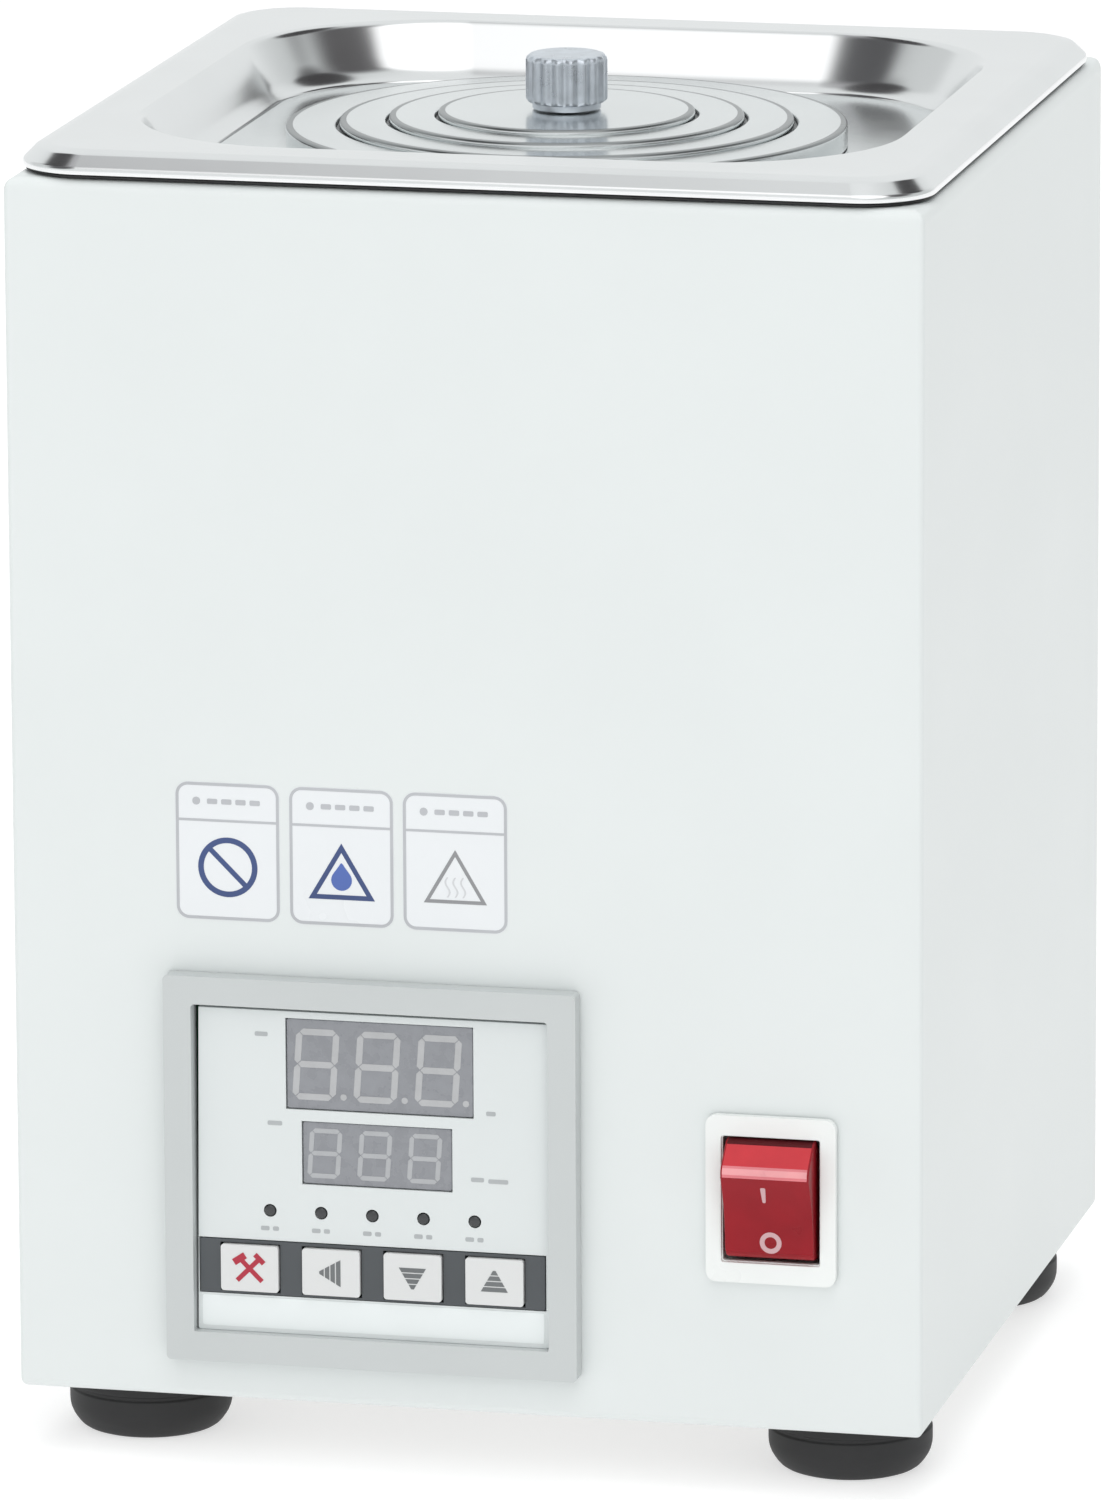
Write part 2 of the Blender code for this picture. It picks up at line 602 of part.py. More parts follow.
def lamp_columns():
    return [(index - 2) * LAMP_PITCH for index in range(5)]


def button_columns():
    return [(index - 1.5) * BUTTON_PITCH for index in range(4)]


def make_button_strip(place):
    """Dark key strip, with four sliding caps that stand a little proud of it."""
    x, z, half_x, half_z = STRIP_WINDOW
    mesh = bmesh.new()
    add_box(mesh, (x - half_x, z - half_z, FACE_FRONT - 0.0015),
            (x + half_x, z + half_z, FACE_FRONT + 0.0002))
    strip = finish("button_strip", mesh, "dark_plastic", **place)
    holes = bmesh.new()
    for column in button_columns():
        add_box(holes, (column - BUTTON_HALF_X - GAP, BUTTON_Z - BUTTON_HALF_Z - GAP, 0.0),
                (column + BUTTON_HALF_X + GAP, BUTTON_Z + BUTTON_HALF_Z + GAP, 0.006))
    cut(strip, "button_holes", holes)
    for name, column in zip(("set_button", "left_button", "down_button", "up_button"),
                            button_columns()):
        front = FACE_FRONT + 0.0011
        rear = FACE_FRONT - 0.0022
        cap = [(0.0022, 0.0022, 0.0006, -0.0024), (0.0022, 0.0022, 0.0006, rear),
               (BUTTON_HALF_X, BUTTON_HALF_Z, 0.0012, rear),
               (BUTTON_HALF_X, BUTTON_HALF_Z, 0.0012, front - 0.0004),
               (BUTTON_HALF_X - 0.0004, BUTTON_HALF_Z - 0.0004, 0.0010, front)]
        loops = [square_loop(half_x, half_z, radius, z, points=3) for half_x, half_z, radius, z in cap]
        at = front_place(CONTROLLER_X + column, CONTROLLER_Z + BUTTON_Z)
        lofted(name, loops, "white_plastic", **at)


def make_controller_inside(place):
    """Open-fronted case through the front wall, board, terminals and clamps."""
    depth, wall = 0.060, 0.0018
    outer = [(HOUSING_HALF_X, HOUSING_HALF_Z, z) for z in (-depth, 0.0)]
    inner = [(HOUSING_HALF_X - wall, HOUSING_HALF_Z - wall, z) for z in (0.0, -depth + wall)]
    loops = [square_loop(x, y, 0.0010, z, points=3) for x, y, z in outer + inner]
    housing = lofted("controller_housing", loops, "dark_plastic", **place)
    slot = bmesh.new()
    add_box(slot, (-0.028, -0.006, -depth - 0.001), (0.028, 0.006, -depth + 0.003))
    for row in range(3):
        for side in (-1, 1):
            z = -0.020 - row * 0.010
            add_box(slot, (-0.030, side * HOUSING_HALF_Z - 0.003, z - 0.002),
                    (0.030, side * HOUSING_HALF_Z + 0.003, z + 0.002))
    cut(housing, "housing_slots", slot)

    board = bmesh.new()
    half_x, half_z = HOUSING_HALF_X - wall - 0.0006, HOUSING_HALF_Z - wall - 0.0006
    loops = [square_loop(half_x, half_z, 0.0010, z, points=3) for z in (-0.0052, -0.0036)]
    bridge(board, loops, ring=False)
    finish("controller_board", board, "board", **place)

    block = bmesh.new()
    add_box(block, (-0.0270, -0.0050, -depth - 0.0080), (0.0270, 0.0050, -depth + wall + 0.004))
    terminal = finish("terminal_block", block, "dark_plastic", **place)
    wells = bmesh.new()
    for index in range(8):
        x = (index - 3.5) * 0.0064
        add_cylinder(wells, 0.0020, -depth - 0.0090, -depth - 0.0040, x, 0.0, points=10)
    cut(terminal, "terminal_wells", wells)

    for name, side in (("controller_clamp_left", -1), ("controller_clamp_right", 1)):
        clamp = bmesh.new()
        near = side * (HOUSING_HALF_X + GAP)
        outline = [(0.0, -SHEET - GAP), (0.0, -0.030), (0.003, -0.030), (0.003, -0.010),
                   (0.0065, -0.006), (0.0065, -SHEET - GAP)]
        if side > 0:
            outline.reverse()
        loops = [[Vector((near + side * x, y, z)) for x, z in outline] for y in (-0.007, 0.007)]
        bridge(clamp, loops, ring=False)
        finish(name, clamp, "zinc_steel", **place)


# ---------------------------------------------------------------- rocker switch
def make_switch():
    """Switch housing with its bezel, open at the front, and the rocker in it."""
    place = front_place(SWITCH_X, SWITCH_Z)
    bezel = 0.0022
    cavity_x, cavity_z = SWITCH_OPENING_X + 0.0002, SWITCH_OPENING_Z + 0.0009
    section = [
        (SWITCH_BODY_HALF_X, SWITCH_BODY_HALF_Z, 0.0010, -0.0260),
        (SWITCH_BODY_HALF_X, SWITCH_BODY_HALF_Z, 0.0010, GAP),
        (SWITCH_HALF_X, SWITCH_HALF_Z, 0.0026, GAP),
        (SWITCH_HALF_X, SWITCH_HALF_Z, 0.0026, bezel - 0.0010),
        (SWITCH_HALF_X - 0.0008, SWITCH_HALF_Z - 0.0008, 0.0022, bezel),
        (SWITCH_OPENING_X + 0.0008, SWITCH_OPENING_Z + 0.0008, 0.0008, bezel),
        (SWITCH_OPENING_X, SWITCH_OPENING_Z, 0.0005, bezel - 0.0008),
        (SWITCH_OPENING_X, SWITCH_OPENING_Z, 0.0005, 0.0002),
        (cavity_x, cavity_z, 0.0005, -0.0006),
        (cavity_x, cavity_z, 0.0005, -0.0150),
    ]
    loops = [square_loop(x, y, radius, z, points=4) for x, y, radius, z in section]
    lofted("switch_body", loops, "white_plastic", **place)

    half = SWITCH_OPENING_X - ROCKER_CLEARANCE
    outline = rocker_outline()
    loops = [[Vector((x, up, out)) for up, out in outline] for x in (-half, half)]
    mesh = bmesh.new()
    bridge(mesh, loops, ring=False)
    finish("switch_rocker", mesh, "red_plastic",
           location=(SWITCH_X, -CABINET_HALF + ROCKER_PIVOT_DEPTH, SWITCH_Z),
           rotation=(math.pi / 2 + ROCKER_TILT, 0, 0))


def rocker_outline():
    """Side view of the rocker level, about its pivot, as (up, out) points. Its
    face is hollow, and its ends slope back into the housing."""
    face, edge, dish = 0.0092, 0.0110, 0.0014
    upper = [(0.0, face - dish), (edge * 0.5, face - dish * 0.70), (edge - 0.0013, face - 0.0002),
             (edge - 0.0004, face - 0.0004), (edge + 0.0002, face - 0.0012), (0.0146, 0.0010),
             (0.0144, -0.0012), (0.0080, -0.0045), (0.0, -0.0060)]
    lower = [(-up, out) for up, out in reversed(upper[1:-1])]
    return upper + lower


# ---------------------------------------------------------------- mains inlet
def make_inlet():
    """Appliance inlet in the rear panel with its pins and its fuse drawer,
    drawn from behind with local Z coming out of the cabinet."""
    base = GAP + SHEET + GAP
    place = rear_place(INLET_X, INLET_Z, base)
    flange_front = 0.0032
    section = [
        (INLET_BODY_HALF_X, INLET_BODY_HALF_Z, 0.0010, -0.0220),
        (INLET_BODY_HALF_X, INLET_BODY_HALF_Z, 0.0010, 0.0),
        (0.0250, 0.0170, 0.0040, 0.0), (0.0250, 0.0170, 0.0040, flange_front - 0.0008),
        (0.0242, 0.0162, 0.0034, flange_front),
    ]
    loops = [square_loop(x, y, radius, z, points=4) for x, y, radius, z in section]
    body = lofted("inlet_body", loops, "dark_plastic", **place)

    hollows = bmesh.new()
    socket = [(-0.0119, -0.0079), (0.0119, -0.0079), (0.0119, 0.0035), (0.0080, 0.0079),
              (-0.0080, 0.0079), (-0.0119, 0.0035)]
    loops = [[Vector((x, y + SOCKET_UP, z)) for x, y in socket] for z in (-0.0160, 0.0060)]
    bridge(hollows, loops, ring=False)
    add_box(hollows, (-DRAWER_HALF_X - GAP, DRAWER_UP - DRAWER_HALF_Z - GAP, -0.0180),
            (DRAWER_HALF_X + GAP, DRAWER_UP + DRAWER_HALF_Z + GAP, 0.0060))
    for side in (-1, 1):
        add_cylinder(hollows, 0.0019, -0.010, 0.010, side * INLET_SCREW_X, 0.0, points=12)
    cut(body, "inlet_hollows", hollows)
    pin_holes = bmesh.new()
    for x, y in pin_places():
        add_box(pin_holes, (x - PIN_HALF_X - GAP, y - PIN_HALF_Z - GAP, -0.0240),
                (x + PIN_HALF_X + GAP, y + PIN_HALF_Z + GAP, -0.0100))
    cut(body, "inlet_pin_holes", pin_holes)

    for name, (x, y) in zip(("inlet_pin_earth", "inlet_pin_line", "inlet_pin_neutral"), pin_places()):
        pin = bmesh.new()
        add_box(pin, (x - PIN_HALF_X, y - PIN_HALF_Z, -0.0280), (x + PIN_HALF_X, y + PIN_HALF_Z, -0.0030))
        finish(name, pin, "brass", **place)

    drawer = bmesh.new()
    lip = flange_front + GAP
    section = [(DRAWER_HALF_X - 0.0006, DRAWER_HALF_Z - 0.0006, -0.0165),
               (DRAWER_HALF_X - 0.0006, DRAWER_HALF_Z - 0.0006, -0.0010),
               (DRAWER_HALF_X, DRAWER_HALF_Z, -0.0010), (DRAWER_HALF_X, DRAWER_HALF_Z, lip)]
    loops = [square_loop(x, y, 0.0006, z, points=3) for x, y, z in section]
    bridge(drawer, loops, ring=False)
    finish("fuse_drawer", drawer, "dark_plastic",
           **rear_place(INLET_X, INLET_Z + DRAWER_UP, base))

    profile = [(0.0014, -0.0080), (0.0014, flange_front + GAP), (0.0030, flange_front + GAP),
               (0.0030, flange_front + 0.0009), (0.0020, flange_front + 0.0012)]
    for index, side in enumerate((-1, 1), 1):
        turned(f"inlet_screw_{index}", profile, "zinc_steel", points=12,
               **rear_place(INLET_X - side * INLET_SCREW_X, INLET_Z, base))


def pin_places():
    return [(0.0, SOCKET_UP + 0.0020), (0.0070, SOCKET_UP - 0.0020), (-0.0070, SOCKET_UP - 0.0020)]


def build():
    clear_scene()
    assembly = bpy.data.objects.new("assembly", None)
    bpy.context.collection.objects.link(assembly)
    make_cabinet_shell()
    make_rear_panel()
    make_base_plate()
    make_feet()
    make_rear_screws()
    make_tank()
    make_tank_gasket()
    make_cover_plate()
    make_lids()
    make_perforated_shelf()
    make_heating()
    make_temperature_probe()
    make_controller()
    make_switch()
    make_inlet()


build()
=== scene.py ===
"""Look of the single-hole paraffin wax bath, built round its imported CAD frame.

Every piece stands where its CAD node stands and rides on that node's body.
All values are in metres unless a name says otherwise.
"""
import math

import bmesh
import bpy
from mathutils import Matrix, Vector


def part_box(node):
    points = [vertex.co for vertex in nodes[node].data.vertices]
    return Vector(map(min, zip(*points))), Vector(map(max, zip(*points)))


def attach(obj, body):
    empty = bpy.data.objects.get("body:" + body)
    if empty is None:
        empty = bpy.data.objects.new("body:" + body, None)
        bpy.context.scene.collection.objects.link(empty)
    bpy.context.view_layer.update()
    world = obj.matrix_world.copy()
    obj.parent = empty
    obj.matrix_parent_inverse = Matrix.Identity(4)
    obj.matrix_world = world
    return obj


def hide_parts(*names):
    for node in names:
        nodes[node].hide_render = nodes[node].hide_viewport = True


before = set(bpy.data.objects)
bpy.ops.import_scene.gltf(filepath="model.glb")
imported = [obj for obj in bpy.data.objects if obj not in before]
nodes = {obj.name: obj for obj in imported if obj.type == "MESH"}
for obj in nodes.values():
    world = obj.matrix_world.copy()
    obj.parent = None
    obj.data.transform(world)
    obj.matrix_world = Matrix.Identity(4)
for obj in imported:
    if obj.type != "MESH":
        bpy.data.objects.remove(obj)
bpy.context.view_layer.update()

HOUSING = "housing"


# ---------------- camera
def make_camera():
    """Long lens from the front right, a little above the bath."""
    data = bpy.data.cameras.new("camera")
    data.lens = 296.55
    data.clip_end = 100.0
    right = Vector((0.973582, 0.228289, -0.004819))
    up = Vector((-0.046091, 0.217144, 0.975051))
    forward = Vector((-0.223639, 0.949069, -0.221930))
    turn = Matrix((right, up, -forward)).transposed().to_4x4()
    camera = bpy.data.objects.new("camera", data)
    bpy.context.scene.collection.objects.link(camera)
    camera.matrix_world = Matrix.Translation((0.63772, -2.72379, 0.78262)) @ turn
    bpy.context.scene.camera = camera


# ---------------- materials
def new_material(name, colour, roughness, metallic=0.0, coat=0.0):
    material = bpy.data.materials.new(name)
    material.use_nodes = True
    shader = shader_of(material)
    shader.inputs["Base Color"].default_value = (*colour, 1.0)
    shader.inputs["Roughness"].default_value = roughness
    shader.inputs["Metallic"].default_value = metallic
    if coat:
        shader.inputs["Coat Weight"].default_value = coat
        shader.inputs["Coat Roughness"].default_value = 0.08
    return material


def shader_of(material):
    return material.node_tree.nodes["Principled BSDF"]


def add_node(material, kind, **inputs):
    node = material.node_tree.nodes.new(kind)
    for name, value in inputs.items():
        node.inputs[name.replace("_", " ")].default_value = value
    return node


def link(material, source, target):
    material.node_tree.links.new(source, target)


def noise_of(material, scale, detail, stretch=(1, 1, 1)):
    """Noise in object coordinates, scale in cycles per metre."""
    where = add_node(material, "ShaderNodeTexCoord")
    mapping = add_node(material, "ShaderNodeMapping")
    mapping.inputs["Scale"].default_value = stretch
    noise = add_node(material, "ShaderNodeTexNoise", Scale=scale, Detail=detail)
    link(material, where.outputs["Object"], mapping.inputs["Vector"])
    link(material, mapping.outputs["Vector"], noise.inputs["Vector"])
    return noise


def vary_colour(material, noise, low, high):
    ramp = add_node(material, "ShaderNodeValToRGB")
    ramp.color_ramp.elements[0].position = 0.35
    ramp.color_ramp.elements[1].position = 0.65
    ramp.color_ramp.elements[0].color = (*low, 1.0)
    ramp.color_ramp.elements[1].color = (*high, 1.0)
    link(material, noise.outputs["Fac"], ramp.inputs["Fac"])
    link(material, ramp.outputs["Color"], shader_of(material).inputs["Base Color"])


def vary_roughness(material, noise, low, high):
    spread = add_node(material, "ShaderNodeMapRange")
    spread.inputs["From Min"].default_value = 0.3
    spread.inputs["From Max"].default_value = 0.7
    spread.inputs["To Min"].default_value = low
    spread.inputs["To Max"].default_value = high
    link(material, noise.outputs["Fac"], spread.inputs["Value"])
    link(material, spread.outputs["Result"], shader_of(material).inputs["Roughness"])


def add_bump(material, noise, distance):
    bump = add_node(material, "ShaderNodeBump", Strength=0.5, Distance=distance)
    link(material, noise.outputs["Fac"], bump.inputs["Height"])
    link(material, bump.outputs["Normal"], shader_of(material).inputs["Normal"])


def tinted(colour, by):
    return tuple(min(1.0, value * by) for value in colour)


def surface(name, colour, roughness, grain, depth, spread, metallic=0.0, coat=0.0,
            stretch=(1, 1, 1), patches=25.0, specular=0.5):
    """Material with broad patches of slightly different colour and roughness
    and a fine grain in its bump. grain and patches are in cycles per metre."""
    material = new_material(name, colour, roughness, metallic, coat)
    shader_of(material).inputs["Specular IOR Level"].default_value = specular
    broad = noise_of(material, patches, 4.0)
    vary_colour(material, broad, tinted(colour, 1 - spread), tinted(colour, 1 + spread))
    vary_roughness(material, broad, roughness * 0.88, roughness * 1.12)
    add_bump(material, noise_of(material, grain, 2.0, stretch), depth)
    return material


def make_materials():
    """Every look by its short name. Each row of a group says the material's
    name, colour, roughness, grain in cycles per metre, depth of the grain in
    metres, and spread of its patches."""
    fine = 2400
    metals = (
        ("polished", "polished_stainless", (0.84, 0.85, 0.855), 0.17, 500, 0.000001, 0.02),
        ("lid_steel", "satin_stainless", (0.78, 0.805, 0.81), 0.20, 2600, 0.000003, 0.03),
        # The seat steel is darker than the lid steel as painted shade in the grooves between the
        # lid rings.
        ("seat", "seat_steel_painted_shade", (0.26, 0.265, 0.27), 0.42, 2600, 0.000006, 0.10),
        # The rim steel is darker than the lid steel as a painted dark reflection on the rounded lid
        # rims.
        ("rim", "lid_rim_painted_reflection", (0.33, 0.345, 0.35), 0.30, 2600, 0.000006, 0.06),
        ("brass", "brass", (0.70, 0.50, 0.20), 0.25, 1200, 0.000006, 0.08))
    plastics = (
        ("rubber", "black_rubber", (0.018, 0.018, 0.019), 0.62, 2200, 0.00003, 0.2),
        ("bezel", "bezel_grey", (0.555, 0.582, 0.582), 0.48, 1900, 0.00002, 0.015),
        ("face", "face_foil", (0.700, 0.735, 0.735), 0.36, fine, 0.000008, 0.01),
        ("strip", "strip_grey", (0.070, 0.078, 0.085), 0.42, fine, 0.00001, 0.08),
        ("button", "button_white", (0.70, 0.708, 0.706), 0.40, fine, 0.000008, 0.01),
        ("field", "lower_field_white", (0.80, 0.84, 0.84), 0.40, fine, 0.000008, 0.01),
        ("switch", "switch_white", (0.845, 0.868, 0.855), 0.30, 2000, 0.000008, 0.01),
        ("mark", "print_white", (0.60, 0.37, 0.39), 0.45, fine, 0.000004, 0.02),
        ("lens", "lamp_lens", (0.045, 0.047, 0.050), 0.22, 1500, 0.000004, 0.1),
        ("dark", "dark_moulding", (0.035, 0.037, 0.040), 0.42, 1700, 0.00002, 0.12),
        ("sticker", "sticker_film", (0.79, 0.812, 0.83), 0.30, fine, 0.000006, 0.008))
    displays = (
        ("window", "display_grey", (0.262, 0.270, 0.292), 0.28, fine, 0.000006, 0.05),
        ("segment", "segment_grey", (0.45, 0.455, 0.465), 0.35, fine, 0.000004, 0.03),
        ("segment_dim", "segment_dim", (0.42, 0.43, 0.445), 0.35, fine, 0.000004, 0.03))
    looks = {
        "powder": surface("powder_coat_white", (0.742, 0.776, 0.772), 0.42, 1400, 0.00002,
                          spread=0.008, coat=0.15),
        "zinc": surface("zinc_plate", (0.62, 0.62, 0.60), 0.34, 900, 0.00001, metallic=1.0,
                        spread=0.08, patches=60),
        "knob": surface("knob_aluminium", (0.62, 0.665, 0.72), 0.30, fine, 0.00001, metallic=0.75,
                        spread=0.10, stretch=(1, 1, 0.06), patches=220),
        "board": surface("board_green", (0.02, 0.14, 0.06), 0.4, 900, 0.00002, spread=0.25,
                         patches=120),
        "wool": surface("mineral_wool", (0.60, 0.50, 0.27), 0.95, 380, 0.0008, spread=0.25,
                        patches=160),
        "heater": surface("heater_mica", (0.36, 0.29, 0.20), 0.55, 600, 0.00006, metallic=0.3,
                          spread=0.25, patches=90),
    }
    for rows, extra in ((metals, {"metallic": 1.0}), (plastics, {}), (displays, {"patches": 300})):
        for key, name, colour, roughness, grain, depth, spread in rows:
            looks[key] = surface(name, colour, roughness, grain, depth, spread, **extra)
    # Rocker reds: the first is the plastic's own colour; the next is painted light on the up-facing
    # end face, the two after it are a painted highlight along the ridge and its paler flanks, and
    # the last is painted shade at the tip.
    for name, colour, roughness, spread, specular, patches in (
            ("red", (0.285, 0.007, 0.014), 0.30, 0.08, 0.22, 120),
            ("red_painted_lit_end", (0.58, 0.034, 0.046), 0.30, 0.06, 0.30, 120),
            ("red_painted_highlight_flank", (0.70, 0.205, 0.230), 0.30, 0.06, 0.30, 160),
            ("red_painted_highlight_ridge", (0.80, 0.345, 0.360), 0.28, 0.06, 0.30, 160),
            ("red_painted_shade", (0.085, 0.004, 0.007), 0.40, 0.10, 0.20, 120)):
        looks[name] = surface("rocker_" + name, colour, roughness, 700, 0.000006, spread,
                              specular=specular, patches=patches)
    for name, colour, spread in (
            ("print_grey", (0.155, 0.165, 0.170), 0.1), ("print_pale", (0.42, 0.44, 0.45), 0.04),
            ("print_mid", (0.27, 0.275, 0.285), 0.05), ("print_faint", (0.62, 0.63, 0.65), 0.03),
            ("print_line", (0.47, 0.48, 0.505), 0.04), ("print_navy", (0.045, 0.075, 0.205), 0.1),
            ("print_blue", (0.085, 0.150, 0.455), 0.1), ("print_red", (0.42, 0.020, 0.045), 0.1)):
        looks[name] = surface(name, colour, 0.5, fine, 0.000004, spread)
    return looks


# ---------------- mesh helpers
def circle(radius, points):
    return [(radius * math.cos(2 * math.pi * i / points),
             radius * math.sin(2 * math.pi * i / points)) for i in range(points)]


def rounded(half_x, half_y, radius, steps):
    """Rounded rectangle, anticlockwise, as points in its own plane."""
    outline = []
    for quarter, (sign_x, sign_y) in enumerate(((1, 1), (-1, 1), (-1, -1), (1, -1))):
        for step in range(steps + 1):
            angle = math.pi / 2 * (quarter + step / steps)
            outline.append((sign_x * (half_x - radius) + radius * math.cos(angle),
                            sign_y * (half_y - radius) + radius * math.sin(angle)))
    return outline


def at_height(outline, z):
    return [Vector((x, y, z)) for x, y in outline]


def skin(loops, ring=False):
    """Closed body through equally long loops, capped at both ends or joined
    from the last loop to the first."""
    mesh = bmesh.new()
    rows = [[mesh.verts.new(point) for point in loop] for loop in loops]
    count = len(rows[0])
    pairs = list(zip(rows, rows[1:])) + ([(rows[-1], rows[0])] if ring else [])
    for lower, upper in pairs:
        for i in range(count):
            j = (i + 1) % count
            mesh.faces.new((lower[i], lower[j], upper[j], upper[i]))
    if not ring:
        mesh.faces.new(list(reversed(rows[0])))
        mesh.faces.new(rows[-1])
    return mesh


def soften(stations, steps):
    """Rounds a section's corners. A station is (values..., cut): the corner is
    replaced by a curve that starts cut before it and ends cut after it."""
    count = len(stations)
    path = []
    for i, station in enumerate(stations):
        here, cut = Vector(station[:-1]), station[-1]
        if not cut:
            path.append(here)
            continue
        before = Vector(stations[(i - 1) % count][:-1]) - here
        after = Vector(stations[(i + 1) % count][:-1]) - here
        start = here + before.normalized() * min(cut, before.length * 0.49)
        end = here + after.normalized() * min(cut, after.length * 0.49)
        for step in range(steps + 1):
            t = step / steps
            path.append(start * (1 - t) ** 2 + here * 2 * t * (1 - t) + end * t * t)
    return path


def lathe(section, points):
    """Ring of revolution about Z from (radius, z, cut) stations."""
    return skin([at_height(circle(radius, points), z) for radius, z in soften(section, 4)],
                ring=True)


def box_mesh(mesh, low, high):
    size = [b - a for a, b in zip(low, high)]
    centre = [(a + b) / 2 for a, b in zip(low, high)]
    bmesh.ops.create_cube(mesh, size=1.0,
                          matrix=Matrix.Translation(centre) @ Matrix.Diagonal((*size, 1.0)))


def cylinder_mesh(mesh, radius, low, high, x, y):
    bmesh.ops.create_cone(mesh, cap_ends=True, segments=24, radius1=radius, radius2=radius,
                          depth=high - low, matrix=Matrix.Translation((x, y, (low + high) / 2)))


def plate(outline, low, high, edge):
    """Flat plate with an outline of (x, y) points and an upper edge rounded by
    edge."""
    middle_x = sum(p[0] for p in outline) / len(outline)
    middle_y = sum(p[1] for p in outline) / len(outline)
    span_x = max(abs(p[0] - middle_x) for p in outline)
    span_y = max(abs(p[1] - middle_y) for p in outline)
    loops = [at_height(outline, low), at_height(outline, high - edge)]
    for step in (1, 2, 3):
        angle = math.pi / 2 * step / 3
        inset = edge * (1 - math.cos(angle))
        loops.append([Vector((middle_x + (x - middle_x) * (1 - inset / span_x),
                              middle_y + (y - middle_y) * (1 - inset / span_y),
                              high - edge + edge * math.sin(angle))) for x, y in outline])
    return skin(loops)


def band(outer, inner, low, high):
    """Flat frame between two outlines with equally many points."""
    return skin([at_height(outer, low), at_height(outer, high),
                 at_height(inner, high), at_height(inner, low)], ring=True)


def join(meshes):
    """One bmesh out of several."""
    whole = meshes[0]
    for other in meshes[1:]:
        copy = bpy.data.meshes.new("part")
        other.to_mesh(copy)
        whole.from_mesh(copy)
        bpy.data.meshes.remove(copy)
        other.free()
    return whole


def front_matrix(x, z, proud=0.0):
    """Local X is right, local Y is up, local Z comes out of the front face."""
    place = Matrix.Translation((x, FRONT_Y - proud, z))
    return place @ Matrix.Rotation(math.pi / 2, 4, "X")


def rear_matrix(x, z, proud):
    """The same for the rear face, as seen from behind."""
    place = Matrix.Translation((x, -FRONT_Y + proud, z))
    return place @ Matrix.Rotation(math.pi, 4, "Z") @ Matrix.Rotation(math.pi / 2, 4, "X")


def to_object(name, mesh, matrix=None):
    """Object in the scene out of a closed bmesh, which is used up."""
    bmesh.ops.recalc_face_normals(mesh, faces=mesh.faces)
    if matrix is not None:
        mesh.transform(matrix)
    data = bpy.data.meshes.new(name)
    mesh.to_mesh(data)
    mesh.free()
    made = bpy.data.objects.new(name, data)
    bpy.context.scene.collection.objects.link(made)
    return made


def piece(name, mesh, material, body=HOUSING, stands_for=(), matrix=None,
          sharp=32, cutter=None):
    """Names a bmesh, shades it, puts it in place and on its body. Edges above
    the angle sharp, in degrees, stay sharp."""
    made = to_object(name, mesh, matrix)
    if cutter is not None:
        carve(made, cutter, matrix)
    made.data.shade_smooth()
    made.data.set_sharp_from_angle(angle=math.radians(sharp))
    made.data.materials.clear()
    made.data.materials.append(LOOK[material])
    weigh = made.modifiers.new("even_normals", "WEIGHTED_NORMAL")
    weigh.keep_sharp = True
    weigh.weight = 90
    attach(made, body)
    if stands_for:
        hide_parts(*stands_for)
    return made


def carve(target, cutter, matrix):
    """Takes the closed bodies in cutter out of target and keeps the result."""
    tool = to_object("cutter", cutter, matrix)
    boolean = target.modifiers.new("carve", "BOOLEAN")
    boolean.operation = "DIFFERENCE"
    boolean.solver = "EXACT"
    boolean.object = tool
    depsgraph = bpy.context.evaluated_depsgraph_get()
    result = bpy.data.meshes.new_from_object(target.evaluated_get(depsgraph))
    target.modifiers.clear()
    target.data = result
    bpy.data.objects.remove(tool)


def middle(node):
    low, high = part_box(node)
    return [(a + b) / 2 for a, b in zip(low, high)]


def half_size(node):
    low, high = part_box(node)
    return [(b - a) / 2 for a, b in zip(low, high)]


def stand_off(node):
    """How far a node's front stands before the cabinet's front."""
    return FRONT_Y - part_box(node)[0][1]


def rounded_loops(stations, corner_steps, steps):
    """Rounded rectangles from (half x, half y, radius, height, cut) stations."""
    return [at_height(rounded(x, y, radius, corner_steps), z)
            for x, y, radius, z in soften(stations, steps)]


def cut_window(cutter, node, centre, gap, front):
    """Adds a box to the cutter that opens a front for a node, with a gap
    round it. The front is a distance out of the cabinet's."""
    at, half, reach = middle(node), half_size(node), 0.004
    x, y = at[0] - centre[0], at[2] - centre[2]
    box_mesh(cutter, (x - half[0] - gap, y - half[2] - gap, front - reach),
             (x + half[0] + gap, y + half[2] + gap, front + reach))


# ---------------- cabinet
def make_cabinet():
    """Folded sheet cabinet, open for the controller, switch and rear cover."""
    low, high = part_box("cabinet_shell")
    half = (high[0] - low[0]) / 2
    sheet = 0.0012
    bottom, top = low[2], high[2]
    section = [(0.033, bottom, 0), (0.0, bottom, 0.0022), (0.0, top, 0.0034), (0.014, top, 0),
               (0.014, top - sheet, 0), (sheet, top - sheet, 0.0040),
               (sheet, bottom + sheet, 0.0008), (0.033, bottom + sheet, 0)]
    loops = []
    for inset, z in soften(section, 9):
        radius = max(0.0013 - inset, 0.0004)
        loops.append(at_height(rounded(half - inset, half - inset, radius, 6), z))
    holes, outside, inside = bmesh.new(), half + 0.003, half - 0.004
    for node, gap in (("controller_housing", 0.0004), ("switch_body", -0.0019)):
        centre, size = middle(node), half_size(node)
        box_mesh(holes, (centre[0] - size[0] - gap, -outside, centre[2] - size[2] - gap),
                 (centre[0] + size[0] + gap, -inside, centre[2] + size[2] + gap))
    rear_x, rear_bottom, rear_top = 0.085, 0.0376, 0.2696
    box_mesh(holes, (-rear_x, inside, rear_bottom), (rear_x, outside, rear_top))
    piece("cabinet", skin(loops, ring=True), "powder",
          stands_for=["cabinet_shell"], cutter=holes, sharp=30)


